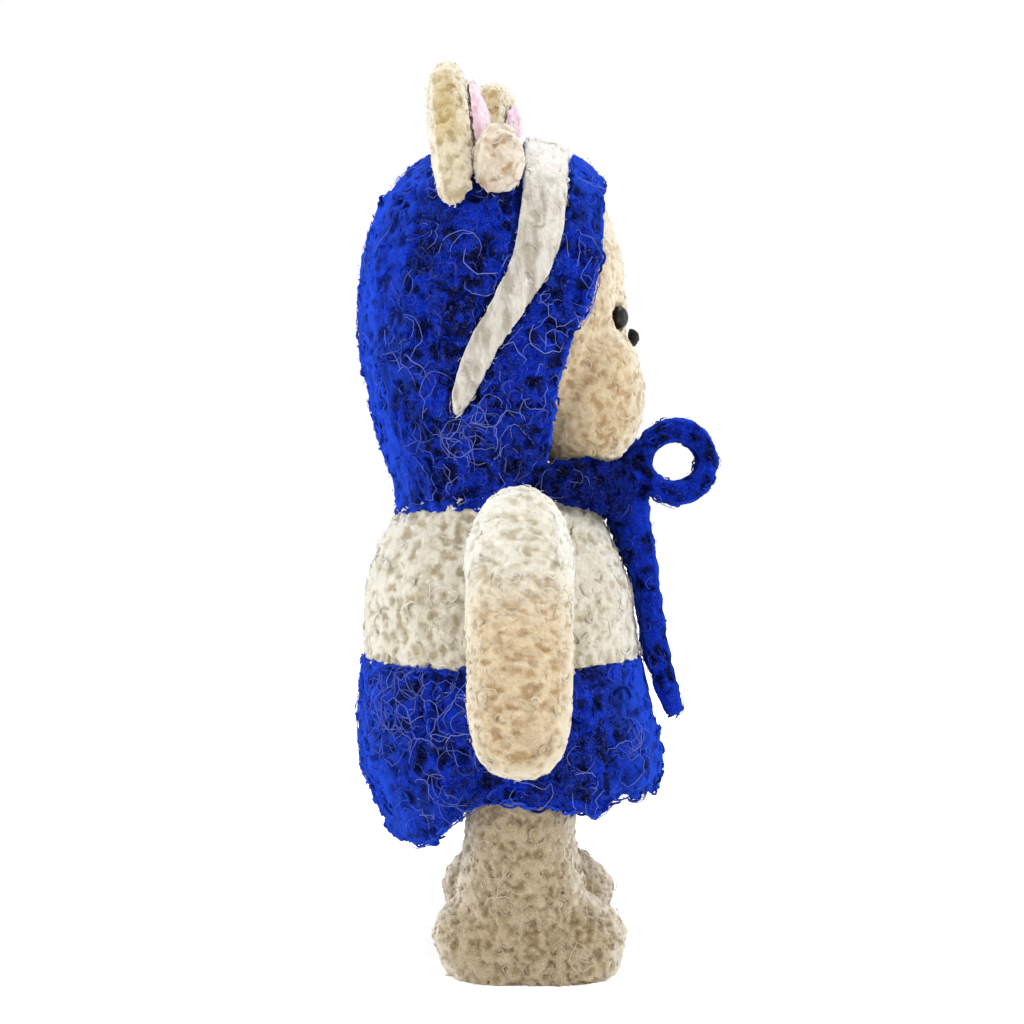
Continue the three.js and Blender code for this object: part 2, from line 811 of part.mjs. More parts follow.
function makeLoop(side) {
  return cut(solid(loopForm(side)), knotSolid(seatGap));
}

function makeTail(side) {
  return cut(solid(tailForm(side)), knotSolid(seatGap));
}

function makeTie(side) {
  return cut(
    solid(tieForm(side)),
    knotSolid(seatGap),
    hoodOuter(seatGap),
    solid(blouseForm(seatGap)),
    solid(headForm(seatGap)),
    solid(cheekForm(side, seatGap)),
    solid(tailForm(side, seatGap)),
  );
}

// Arms: made upright about the pivot, then leaned out
const leanAngle = THREE.MathUtils.degToRad(armLean);

// How full the arm is, from its top to its bottom
const armTaper = [
  [0.02, 0.3], [0.07, 0.62], [0.14, 0.86], [0.24, 0.99], [0.36, 1], [0.5, 0.99],
  [0.64, 0.97], [0.78, 0.94], [0.88, 0.87], [0.94, 0.74], [0.98, 0.52], [1, 0.24],
];

// The shoulder pivot stands as far out as keeps the hanging arm clear of the clothes
function shoulderReach() {
  let reach = 0;
  for (const [share, full] of armTaper) {
    const down = share * armLength - shoulderDrop;
    const z = shoulderHeight - down * Math.cos(leanAngle);
    const cloth = z > waistHeight ? blouseRing(z) : skirtRing(z);
    const half = full * armThickness / 2 / Math.cos(leanAngle);
    reach = Math.max(reach, cloth.halfWidth + swingGap + half - down * Math.sin(leanAngle));
  }
  return reach;
}

const armAside = shoulderReach();

function armRings(grow) {
  const top = shoulderDrop + grow;
  const bottom = shoulderDrop - armLength - grow;
  const rings = armTaper.map(([share, full]) => ({
    z: THREE.MathUtils.lerp(top, bottom, share),
    middle: 0,
    halfDepth: full * armDepth / 2 + grow,
    halfWidth: full * armThickness / 2 + grow,
  }));
  return rings.reverse();
}

function armForm(grow = 0) {
  return loft(armRings(grow), armSides);
}

function leaned(geometry, side) {
  return geometry.rotateY(side * leanAngle);
}

function pivotRoom(side) {
  const inward = side > 0 ? [-far, 0] : [0, far];
  const bore = leaned(barAlongX(wireRadius + wireGap, ...inward), side);
  const thick = pivotDiscThickness / 2 + wireGap;
  const pocket = leaned(barAlongX(pivotDiscRadius + wireGap, -thick, thick, discSides), side);
  return solid(bore).add(solid(pocket));
}

function makeArmCore(side) {
  const slim = solid(armForm(-sleeveWall - seatGap)).subtract(below(shoulderDrop - sleeveLength + seatGap));
  const full = solid(armForm()).subtract(above(shoulderDrop - sleeveLength));
  return cut(slim.add(full.add(joiner())), pivotRoom(side));
}

// Overlaps the two halves of the arm's core so that they are one body
function joiner() {
  const foot = shoulderDrop - sleeveLength;
  const band = solid(armForm(-sleeveWall - seatGap));
  return cut(band, above(foot + 1), below(foot - 1));
}

function makeSleeve(side) {
  const shell = solid(armForm()).subtract(solid(armForm(-sleeveWall)));
  return cut(shell, below(shoulderDrop - sleeveLength + seatGap), pivotRoom(side));
}

// Armature
const spineChannel = solid(
  postAlongZ(wireRadius + wireGap, neckHeight - spineDepth - wireGap, neckHeight + spineRise + wireGap)
    .translate(0, headMiddle + spineMiddle, 0),
);

const shoulderChannel = solid(
  barAlongX(wireRadius + wireGap, -armAside, armAside).translate(0, armMiddle, shoulderHeight),
);

function legChannel(side) {
  const post = postAlongZ(wireRadius + wireGap, -1, legLength + legWireRise + wireGap);
  return solid(post.translate(side * legSpacing / 2, legMiddle, 0));
}

function makeSpineWire() {
  return solid(
    postAlongZ(wireRadius, neckHeight - spineDepth, neckHeight + spineRise)
      .translate(0, headMiddle + spineMiddle, 0),
  );
}

function makeShoulderWire() {
  let wire = solid(barAlongX(wireRadius, -armAside, armAside));
  for (const side of [-1, 1]) {
    const half = pivotDiscThickness / 2;
    const disc = barAlongX(pivotDiscRadius, -half, half, discSides);
    wire = wire.add(solid(disc.translate(side * armAside, 0, 0)));
  }
  return wire;
}

function makeLegWire() {
  return solid(postAlongZ(wireRadius, legWireFloor, legLength + legWireRise));
}

// The scene graph
function piece(name, made, colour) {
  const material = new THREE.MeshStandardMaterial({ metalness: 0, ...colours[colour] });
  const mesh = new THREE.Mesh(geometryOf(made), material);
  mesh.name = name;
  return mesh;
}

function sideName(side) {
  return side < 0 ? 'right' : 'left';
}

const doll = new THREE.Group();
doll.add(piece('body_core', makeCore(), 'cream'));
doll.add(piece('blouse', makeBlouse(), 'white'));
doll.add(piece('skirt', makeSkirt(), 'blue'));
doll.add(piece('head', makeHead(), 'cream'));
doll.add(piece('nose', makeNose(), 'nose'));
doll.add(piece('bonnet', makeHood(), 'blue'));
doll.add(piece('bonnet_stripe', makeStripe(), 'white'));
doll.add(piece('bow_knot', knotSolid(), 'blue'));
doll.add(piece('spine_wire', makeSpineWire(), 'wire'));

const shoulders = new THREE.Group();
shoulders.position.set(0, armMiddle, shoulderHeight);
shoulders.add(piece('shoulder_wire', makeShoulderWire(), 'wire'));
doll.add(shoulders);

for (const side of [-1, 1]) {
  const name = sideName(side);
  doll.add(piece(`${name}_cheek`, makeCheek(side), 'cream'));
  doll.add(piece(`${name}_eye`, solid(eyeForm(side)), 'bead'));
  doll.add(piece(`${name}_ear`, makeEar(side), 'ivory'));
  doll.add(piece(`${name}_ear_lining`, makeLining(side), 'pink'));
  doll.add(piece(`${name}_ear_fold`, makeFold(side), 'ivory'));
  doll.add(piece(`${name}_neck_tie`, makeTie(side), 'blue'));
  doll.add(piece(`${name}_bow_loop`, makeLoop(side), 'blue'));
  doll.add(piece(`${name}_tie_tail`, makeTail(side), 'blue'));

  const leg = new THREE.Group();
  leg.position.x = side * legSpacing / 2;
  leg.add(piece(`${name}_leg`, makeLeg(side), 'cream'));
  leg.add(piece(`${name}_foot`, makeFoot(), 'cream'));
  const wire = piece(`${name}_leg_wire`, makeLegWire(), 'wire');
  wire.position.y = legMiddle;
  leg.add(wire);
  doll.add(leg);

  const arm = new THREE.Group();
  arm.position.x = side * armAside;
  arm.rotation.y = -side * leanAngle;
  arm.add(piece(`${name}_arm_felt`, makeArmCore(side), 'cream'));
  arm.add(piece(`${name}_sleeve`, makeSleeve(side), 'white'));
  shoulders.add(arm);
}

// The origin is on the floor in the middle of the doll's box
doll.updateMatrixWorld(true);
const box = new THREE.Box3().setFromObject(doll, true);
const middle = box.getCenter(new THREE.Vector3());
doll.position.set(-middle.x, -middle.y, -box.min.z);

export default doll;
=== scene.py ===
import math

import bmesh
import bpy
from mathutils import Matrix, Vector


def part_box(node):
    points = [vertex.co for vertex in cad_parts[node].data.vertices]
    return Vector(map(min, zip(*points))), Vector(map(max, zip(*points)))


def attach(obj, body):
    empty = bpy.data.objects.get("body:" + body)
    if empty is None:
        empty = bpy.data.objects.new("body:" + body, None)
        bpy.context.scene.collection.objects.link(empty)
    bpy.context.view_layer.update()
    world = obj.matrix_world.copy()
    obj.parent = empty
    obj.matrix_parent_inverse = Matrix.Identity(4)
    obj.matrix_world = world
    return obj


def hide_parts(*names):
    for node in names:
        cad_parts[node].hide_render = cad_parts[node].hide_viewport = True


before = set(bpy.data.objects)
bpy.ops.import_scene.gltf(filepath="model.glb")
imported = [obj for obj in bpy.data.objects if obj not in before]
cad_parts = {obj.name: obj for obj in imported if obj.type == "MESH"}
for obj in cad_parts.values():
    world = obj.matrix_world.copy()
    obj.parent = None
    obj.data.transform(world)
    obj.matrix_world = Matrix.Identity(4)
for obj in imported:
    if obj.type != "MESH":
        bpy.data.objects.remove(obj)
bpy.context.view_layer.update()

bl_info = {
    "name": "Felt cat ornament",
    "version": (1, 0, 0),
    "blender": (4, 5, 0),
    "location": "3D View > Sidebar > Felt Doll",
    "description": "Dresses the packed model of a needle-felted cat doll in curly wool",
    "category": "Object",
}

MM = 0.001
PIT = "pit"  # how deep in a pit each point of the wool lies
TONE = "tone"  # how pale each fibre is
FORM = "form"  # which way the form looks at each point, before the pits


def linear(red, green, blue):
    """A colour as it looks on a screen, from 0 to 255, as Blender's linear values."""
    shares = (red / 255, green / 255, blue / 255)
    return tuple(s / 12.92 if s <= 0.04045 else ((s + 0.055) / 1.055) ** 2.4 for s in shares)


def colour_setting(name, description, *screen):
    return bpy.props.FloatVectorProperty(
        name=name, description=description, default=linear(*screen), subtype="COLOR", size=3, min=0, max=1
    )


def number_setting(name, description, default, **limits):
    return bpy.props.FloatProperty(name=name, description=description, default=default, min=0, **limits)


def length_setting(name, description, millimetres):
    return number_setting(name, description, millimetres * MM, unit="LENGTH", precision=5)


# The second shade of each wool is painted shade, laid into its needle pits.
SHADE_PARTS = {
    # The third shade of each wool is a painted highlight, laid on where a form or a curl is seen edge on.
    "": "Raised wool", "_pit_shade": "Pits in the wool", "_edge": "Wool seen edge on",
    "_pale": "Stray fibres on the wool",
}
WOOL_SHADES = {
    "blue": ("of the bonnet, bow and skirt", (6, 47, 196), (0, 2, 44), (42, 84, 228), (138, 152, 222)),
    # The ties' shades are the blue's painted darker, as shade under the chin.
    "tie": ("of the ties under the chin", (4, 26, 126), (0, 1, 22), (10, 34, 138), (120, 134, 206)),
    "beige": ("of the face and arms", (233, 212, 172), (186, 152, 106), (250, 242, 222), (245, 236, 216)),
    # The legs' shades are the beige painted darker, as shade under the skirt.
    "leg": ("of the legs and feet", (195, 176, 141), (142, 118, 80), (250, 241, 224), (234, 222, 196)),
    "white": ("of the blouse", (242, 236, 218), (178, 163, 132), (240, 236, 224), (246, 244, 238)),
    "sleeve": ("of the sleeves", (250, 246, 232), (206, 194, 164), (252, 250, 244), (250, 248, 242)),
    "stripe": ("of the stripe", (242, 237, 225), (186, 176, 158), (246, 243, 238), (246, 244, 238)),
    # The stripe's top is painted whiter, as a highlight from the light above it.
    "stripe_top_highlight": ("at the top of the stripe", (254, 254, 252), (240, 237, 230)),
    "fold": ("of the ear folds", (246, 234, 214), (190, 156, 118), (249, 242, 228), (250, 245, 232)),
    "ear_foot": ("at the foot of the ears", (240, 229, 200), (204, 186, 146)),
    "ivory": ("of the ears", (224, 202, 150), (188, 158, 96), (252, 247, 232), (250, 245, 230)),
    "pink": ("of the ear linings", (249, 222, 233), (230, 186, 206), (250, 234, 240), (248, 226, 236)),
    "nose": ("of the nose", (58, 54, 54), (24, 22, 24), (84, 80, 80), (112, 106, 102)),
}  # each wool's place and its shades on a screen, from 0 to 255, in the order of SHADE_PARTS


def shade_settings():
    """A colour setting for each shade of each wool."""
    made = {}
    for kind, (where, *shades) in WOOL_SHADES.items():
        for (ending, what), screen in zip(SHADE_PARTS.items(), shades):
            name = (kind + ending).replace("_", " ").capitalize()
            made[kind + ending] = colour_setting(name, f"{what} {where}", *screen)
    return made


class WoolColours(bpy.types.PropertyGroup):
    """Colours of the doll's wool, beads and wire"""

    __annotations__ = shade_settings()
    bead: colour_setting("Bead", "Eyes", 12, 10, 9)
    steel: colour_setting("Steel", "Wires inside the doll", 168, 168, 170)


class WoolFinish(bpy.types.PropertyGroup):
    """Sizes of the wool's pits, lumps and fibres"""

    pit_spacing: length_setting("Pit spacing", "From one needle pit to the next", 1.8)
    pit_depth: length_setting("Pit depth", "How deep the needle pits are", 0.62)
    lump_size: length_setting("Lump size", "How wide the wool's soft lumps are", 5.0)
    lump_height: length_setting("Lump height", "How high the wool's soft lumps are", 0.55)
    inset: length_setting("Inset", "How far the matted wool lies under the tips of its curls", 0.18)
    seam_reach: length_setting("Seam reach", "How far forms grow up and down to meet their neighbours", 0.35)
    curl_radius: length_setting("Curl radius", "Radius of a curl that lies on the wool", 0.72)
    curl_thickness: length_setting("Curl thickness", "Thickness of a curled lock", 0.34)
    stray_radius: length_setting("Stray radius", "Radius of a loose loop of fibre", 1.7)
    stray_thickness: length_setting("Stray thickness", "Thickness of a loose loop of fibre", 0.11)
    fuzz_radius: length_setting("Fuzz radius", "Bend of the short hairs", 0.42)
    fuzz_thickness: length_setting("Fuzz thickness", "Thickness of the short hairs", 0.05)
    curl_count: number_setting("Curls", "Curls on a square millimetre", 0.34, max=5)
    stray_count: number_setting("Strays", "Loose loops on a square millimetre", 0.06, max=5)
    fuzz_count: number_setting("Fuzz", "Short hairs on a square millimetre", 0.8, max=9)


class StudioSettings(bpy.types.PropertyGroup):
    """Camera, floor and lights"""

    distance: length_setting("Camera distance", "From the camera to the doll's middle", 150)
    height: length_setting("Camera height", "Height of the camera above the floor", 53.2)
    behind: length_setting("Camera behind", "How far behind the shoulders' wire the camera stands", 0.8)
    lens: number_setting("Lens", "Focal length of the camera in millimetres", 42.1875)
    world: number_setting("World light", "Strength of the even light from all round", 0.62, max=4)
    side_light: number_setting("Side light", "Lamps in front of and behind the doll", 0.5, unit="POWER")
    top_light: number_setting("Top light", "Lamp above the doll", 0.75, unit="POWER")
    near_light: number_setting("Near light", "Lamps to the left and right", 0.12, unit="POWER")


SETTINGS = (
    ("felt_doll_colours", WoolColours),
    ("felt_doll_finish", WoolFinish),
    ("felt_doll_studio", StudioSettings),
)


def colours():
    return bpy.context.scene.felt_doll_colours


def finish():
    return bpy.context.scene.felt_doll_finish


# Node trees

def add_node(tree, kind, values=None, **settings):
    """A node with its settings; values gives each input a constant or another node's output."""
    made = tree.nodes.new(kind)
    for name, value in settings.items():
        setattr(made, name, value)
    for key, value in (values or {}).items():
        if isinstance(value, bpy.types.NodeSocket):
            tree.links.new(value, made.inputs[key])
        else:
            made.inputs[key].default_value = value
    return made


def add_step(tree, kind, values=None, **settings):
    """What a new node gives first."""
    return add_node(tree, kind, values, **settings).outputs[0]


def new_group(name, kind, inputs, outputs):
    """A node group, and what its input node gives. Each socket has a value, or a kind where it has none."""
    tree = bpy.data.node_groups.new(name, kind)
    for way, sockets in (("INPUT", inputs), ("OUTPUT", outputs)):
        for socket, default in sockets.items():
            sort = SOCKET_KINDS.get(type(default), default)
            made = tree.interface.new_socket(name=socket, in_out=way, socket_type=f"NodeSocket{sort}")
            if sort != default:
                made.default_value = default
    return tree, add_node(tree, "NodeGroupInput").outputs


SOCKET_KINDS = {float: "Float", int: "Int", tuple: "Vector"}


def add_math(tree, operation, *values, clamp=False):
    return add_step(tree, "ShaderNodeMath", dict(enumerate(values)), operation=operation, use_clamp=clamp)


def plus(tree, first, second, clamp=False):
    return add_math(tree, "ADD", first, second, clamp=clamp)


def minus(tree, first, second, clamp=False):
    return add_math(tree, "SUBTRACT", first, second, clamp=clamp)


def times(tree, first, second):
    return add_math(tree, "MULTIPLY", first, second)


def add_vector_math(tree, operation, *values, scale=None):
    given = dict(enumerate(values))
    if scale is not None:
        given["Scale"] = scale
    made = add_node(tree, "ShaderNodeVectorMath", given, operation=operation)
    return made.outputs["Value" if operation in ("DOT_PRODUCT", "LENGTH") else "Vector"]


def add_range(tree, value, low, high, to_low=0.0, to_high=1.0):
    """A value that goes smoothly from to_low to to_high while the given one goes from low to high."""
    given = {"Value": value, "From Min": low, "From Max": high, "To Min": to_low, "To Max": to_high}
    return add_node(tree, "ShaderNodeMapRange", given, interpolation_type="SMOOTHSTEP").outputs["Result"]


def add_noise(tree, place, scale, detail=1.0, distortion=0.0):
    given = {"Vector": place, "Scale": scale, "Detail": detail, "Distortion": distortion}
    return add_node(tree, "ShaderNodeTexNoise", given).outputs


def add_wander(tree, place, scale, reach):
    """A vector that changes from place to place, in any direction."""
    wander = add_noise(tree, place, scale)["Color"]
    centred = add_vector_math(tree, "SUBTRACT", wander, (0.5, 0.5, 0.5))
    return add_vector_math(tree, "SCALE", centred, scale=reach)


def mix_colour(tree, factor, first, second):
    """The colour that lies factor of the way from first to second."""
    factor_input, first_input, second_input, result = 0, 6, 7, 2
    made = add_node(
        tree, "ShaderNodeMix", {factor_input: factor, first_input: first, second_input: second},
        data_type="RGBA",
    )
    return made.outputs[result]


def position_of(tree):
    return add_step(tree, "GeometryNodeInputPosition")


def moved(tree, geometry, offset):
    return add_step(tree, "GeometryNodeSetPosition", {"Geometry": geometry, "Offset": offset})


def above_floor(tree, geometry):
    """The geometry with every point that lies below the floor lifted up to it, and shaded smooth."""
    place = add_node(tree, "ShaderNodeSeparateXYZ", {0: position_of(tree)}).outputs
    given = {"X": place["X"], "Y": place["Y"], "Z": add_math(tree, "MAXIMUM", place["Z"], 0.0)}
    lifted = add_step(tree, "ShaderNodeCombineXYZ", given)
    raised = add_step(tree, "GeometryNodeSetPosition", {"Geometry": geometry, "Position": lifted})
    return add_step(tree, "GeometryNodeSetShadeSmooth", {"Geometry": raised})


def with_value(tree, geometry, name, value, kind="FLOAT"):
    """The geometry with a value of its own at each point."""
    given = {"Geometry": geometry, "Name": name, "Value": value}
    return add_step(tree, "GeometryNodeStoreNamedAttribute", given, data_type=kind, domain="POINT")


def finish_tree(tree, geometry, material):
    real = add_step(tree, "GeometryNodeRealizeInstances", {"Geometry": geometry})
    coated = add_step(tree, "GeometryNodeSetMaterial", {"Geometry": real, "Material": material})
    add_node(tree, "NodeGroupOutput", {"Geometry": coated})
    return tree


def set_inputs(modifier, values):
    """Sets a Geometry Nodes modifier's inputs, by the identifier of each named socket."""
    for item in modifier.node_group.interface.items_tree:
        if item.item_type == "SOCKET" and item.in_out == "INPUT" and item.name in values:
            modifier[item.identifier] = values[item.name]


def felted_surface_tree():
    """Moves a surface into soft lumps and needle pits, and keeps how deep each point lies."""
    name = "Felted surface"
    if name in bpy.data.node_groups:
        return bpy.data.node_groups[name]
    tree, given = new_group(name, "GeometryNodeTree", {
        "Geometry": "Geometry", "Pit Spacing": 1.8 * MM, "Pit Depth": 0.6 * MM, "Lump Size": 5 * MM,
        "Lump Height": 0.5 * MM, "Inset": 0.2 * MM, "Stretch": (1, 1, 1), "Material": "Material",
    }, {"Geometry": "Geometry"})
    place = position_of(tree)
    spacing = given["Pit Spacing"]
    fine = add_math(tree, "DIVIDE", 1.0, spacing)

    stretched = add_vector_math(tree, "MULTIPLY", place, given["Stretch"])
    swirl = add_wander(tree, stretched, times(tree, fine, SWIRL_SCALE), times(tree, spacing, SWIRL_REACH))
    warped = add_vector_math(tree, "ADD", stretched, swirl)
    cells = add_node(tree, "ShaderNodeTexVoronoi", {"Vector": warped, "Scale": fine, "Randomness": 0.85})
    patchy = add_range(tree, add_noise(tree, place, times(tree, fine, PATCH_SCALE))["Fac"], *PIT_PATCHES)
    pit = times(tree, add_range(tree, cells.outputs["Distance"], *PIT_WALL), patchy)

    lumps = add_noise(tree, place, add_math(tree, "DIVIDE", 1.0, given["Lump Size"]), detail=2.0)["Fac"]
    rise = times(tree, minus(tree, lumps, 0.5), given["Lump Height"])
    curly = add_noise(tree, warped, times(tree, fine, RIDGE_SCALE), distortion=0.8)["Fac"]
    ridge = add_range(tree, add_math(tree, "ABSOLUTE", minus(tree, curly, 0.5)), RIDGE_WIDTH, 0.0)
    bumpy = times(tree, minus(tree, 1.0, ridge), RIDGE_HEIGHT)
    hollow = times(tree, plus(tree, pit, bumpy), given["Pit Depth"])
    move = minus(tree, rise, plus(tree, hollow, given["Inset"]))

    normal = add_step(tree, "GeometryNodeInputNormal")
    formed = with_value(tree, given["Geometry"], FORM, normal, "FLOAT_VECTOR")
    raised = above_floor(tree, moved(tree, formed, add_vector_math(tree, "SCALE", normal, scale=move)))
    deep = plus(tree, times(tree, pit, 0.85), times(tree, bumpy, 0.8))
    return finish_tree(tree, with_value(tree, raised, PIT, deep), given["Material"])


SWIRL_SCALE, PATCH_SCALE, RIDGE_SCALE = 0.8, 0.35, 1.9  # how many of each lie on one pit spacing
SWIRL_REACH = 1.5  # how far the pits are moved about, in pit spacings
PIT_WALL = (0.64, 0.2)  # how far from a pit's middle its wall starts and ends, in pit spacings
PIT_PATCHES = (0.3, 0.55, 0.45, 1.0)  # two noise values, and the share of a pit's depth at each
RIDGE_WIDTH = 0.16  # in noise values
RIDGE_HEIGHT = 0.3  # as a share of the pits' depth


def random_near(tree, middle, spread, seed):
    """A random value that lies no further than spread from the middle."""
    low_input, high_input, float_output = 2, 3, 1
    given = {low_input: minus(tree, middle, spread), high_input: plus(tree, middle, spread), "Seed": seed}
    return add_node(tree, "FunctionNodeRandomValue", given, data_type="FLOAT").outputs[float_output]


def fibre_density(tree, given, position, normal):
    """How many fibres grow on a square metre. They grow outwards, in loose clusters and in tangles."""
    away = add_vector_math(tree, "SUBTRACT", position, given["Outward Of"])
    outward = add_math(tree, "GREATER_THAN", add_vector_math(tree, "DOT_PRODUCT", away, normal), 0.0)
    outward = add_math(tree, "MAXIMUM", outward, given["All Round"])
    crowd = add_noise(tree, position, 1 / CLUSTER_SIZE)["Fac"]
    crowd = minus(tree, add_range(tree, crowd, *CLUSTER_CROWD), 1.0)
    crowd = plus(tree, times(tree, crowd, given["Clusters"]), 1.0)
    aside = add_vector_math(tree, "SUBTRACT", position, given["Tangle Place"])
    aside = add_vector_math(tree, "LENGTH", add_vector_math(tree, "MULTIPLY", aside, (0.0, 1.0, 1.0)))
    close = add_range(tree, aside, given["Tangle Reach"], 0.0, 0.0, TANGLE_CROWD)
    crowd = plus(tree, crowd, times(tree, close, given["Clusters"]))
    per_metre = times(tree, given["Per Square Millimetre"], SQUARE_MILLIMETRES)
    return times(tree, times(tree, per_metre, crowd), outward)


def fibre_rotation(tree, given, points):
    """Each fibre turned any way round its point and tipped by up to its stand."""
    stand = given["Stand"]
    low, high = (
        add_step(tree, "ShaderNodeCombineXYZ", {"X": tip, "Y": 0.0, "Z": turn})
        for tip, turn in ((times(tree, stand, -1.0), 0.0), (stand, 2 * math.pi))
    )
    seed = plus(tree, given["Seed"], SPIN_SEED)
    spin = add_node(
        tree, "FunctionNodeRandomValue", {"Min": low, "Max": high, "Seed": seed}, data_type="FLOAT_VECTOR"
    ).outputs["Value"]
    turn = add_step(tree, "FunctionNodeEulerToRotation", {0: spin})
    return add_step(
        tree, "FunctionNodeRotateRotation", {"Rotation": points["Rotation"], "Rotate By": turn},
        rotation_space="LOCAL",
    )


def one_fibre_kind_tree():
    """Scatters bent fibres over the outward side of a surface."""
    tree, given = new_group("One kind of fibre", "GeometryNodeTree", {
        "Surface": "Geometry", "Per Square Millimetre": 0.4, "Radius": 0.6 * MM, "Thickness": 0.2 * MM,
        **GROWTH, **dict(zip(FIBRE_PARTS, FIBRE_KINDS["Curl"])),
    }, {"Fibres": "Geometry"})
    radius, seed = given["Radius"], given["Seed"]
    normal = add_step(tree, "GeometryNodeInputNormal")
    density = fibre_density(tree, given, position_of(tree), normal)
    points = add_node(
        tree, "GeometryNodeDistributePointsOnFaces",
        {"Mesh": given["Surface"], "Density": density, "Seed": seed}, distribute_method="RANDOM",
    ).outputs
    arc = add_step(
        tree, "GeometryNodeCurveArc",
        {"Resolution": given["Steps"], "Radius": 1.0, "Start Angle": 0.0, "Sweep Angle": given["Bend"]},
        mode="RADIUS",
    )
    turned = fibre_rotation(tree, given, points)
    size = times(tree, random_near(tree, 1.0, given["Size Spread"], plus(tree, seed, SIZE_SEED)), radius)
    tone = random_near(tree, given["Tone"], given["Tone Spread"], plus(tree, seed, TONE_SEED))
    lift = add_vector_math(tree, "SCALE", points["Normal"], scale=given["Lift"])
    toned = with_value(tree, moved(tree, points["Points"], lift), TONE, tone)
    placed = add_step(
        tree, "GeometryNodeInstanceOnPoints",
        {"Points": toned, "Instance": arc, "Rotation": turned, "Scale": size},
    )
    fibres = add_step(tree, "GeometryNodeRealizeInstances", {"Geometry": placed})

    where = position_of(tree)
    reach = times(tree, times(tree, radius, given["Tangle"]), TANGLE_BEND)
    bent = moved(tree, fibres, add_wander(tree, where, add_math(tree, "DIVIDE", TANGLE_WAVES, radius), reach))
    near = add_node(tree, "GeometryNodeProximity", {"Target": given["Surface"]}, target_element="FACES")
    home = add_vector_math(tree, "SUBTRACT", near.outputs["Position"], where)
    draped = moved(tree, bent, add_vector_math(tree, "SCALE", home, scale=given["Cling"]))
    along = add_node(tree, "GeometryNodeSplineParameter").outputs["Factor"]
    full = times(tree, minus(tree, 1.0, along), times(tree, along, 4.0))
    taper = plus(tree, add_math(tree, "POWER", full, 0.4), FIBRE_TIP)
    thinned = add_step(tree, "GeometryNodeSetCurveRadius", {"Curve": draped, "Radius": taper})
    outline = add_step(
        tree, "GeometryNodeCurvePrimitiveCircle",
        {"Resolution": FIBRE_SIDES, "Radius": times(tree, given["Thickness"], 0.5)}, mode="RADIUS",
    )
    thickness = add_step(tree, "GeometryNodeInputRadius")
    tube = add_step(
        tree, "GeometryNodeCurveToMesh",
        {"Curve": thinned, "Profile Curve": outline, "Scale": thickness, "Fill Caps": True},
    )
    add_node(tree, "NodeGroupOutput", {"Fibres": above_floor(tree, tube)})
    return tree


SQUARE_MILLIMETRES = 1e6  # in a square metre
CLUSTER_SIZE = 7 * MM  # how far apart the loose clusters of stray fibres lie
CLUSTER_CROWD = (0.42, 0.66, 0.2, 3.0)  # two noise values, and how many times as many strays grow at each
TANGLE_CROWD = 7.0  # how many times as many are added in the middle of a tangle
TANGLE_WAVES = 0.55  # how many waves a tangled fibre has on the length of its radius
TANGLE_BEND = 4.0  # how wide the waves are at a tangle of 1, in fibre radii
FIBRE_SIDES = 3
FIBRE_TIP = 0.12  # how much of a fibre's thickness is left at its ends
SPIN_SEED, SIZE_SEED, TONE_SEED = 11.0, 23.0, 37.0
GROWTH = {"Outward Of": (0, 0, 0), "All Round": 0.0, "Tangle Place": (0, 0, 0), "Tangle Reach": 0.0}
FIBRE_PARTS = (
    "Bend", "Steps", "Stand", "Lift", "Tangle", "Tone", "Tone Spread", "Size Spread", "Clusters", "Cling",
    "Seed",
)
FIBRE_KINDS = {
    "Curl": (3.6, 9, 0.3, -0.1 * MM, 0.4, 0.0, 0.1, 0.45, 0.0, 0.2, 3),
    "Stray": (4.4, 15, 0.18, 0.12 * MM, 0.34, 0.62, 0.25, 0.55, 1.0, 0.7, 5),
    "Fuzz": (1.7, 4, 1.25, 0.05 * MM, 0.25, 0.3, 0.3, 0.35, 0.0, 0.0, 7),
}  # the values of each kind of fibre, in the order of FIBRE_PARTS


def wool_coat_tree():
    """Curls, loose loops and short fuzz on one wool surface."""
    name = "Wool coat"
    if name in bpy.data.node_groups:
        return bpy.data.node_groups[name]
    tree, given = new_group(name, "GeometryNodeTree", {
        "Geometry": "Geometry", "Material": "Material", "Seed": 0, **GROWTH,
        **{f"{kind} {part}": 0.0 for kind in FIBRE_KINDS for part in ("Count", "Radius", "Thickness")},
    }, {"Geometry": "Geometry"})
    one_kind = one_fibre_kind_tree()
    together = add_node(tree, "GeometryNodeJoinGeometry")
    for kind, shape in FIBRE_KINDS.items():
        values = dict(zip(FIBRE_PARTS, shape))
        values["Seed"] = plus(tree, given["Seed"], values["Seed"])
        values["Surface"] = given["Geometry"]
        values["Per Square Millimetre"] = given[f"{kind} Count"]
        for key in GROWTH:
            values[key] = given[key]
        for key in ("Radius", "Thickness"):
            values[key] = given[f"{kind} {key}"]
        fibres = add_step(tree, "GeometryNodeGroup", values, node_tree=one_kind)
        tree.links.new(fibres, together.inputs[0])
    return finish_tree(tree, together.outputs[0], given["Material"])


# Materials

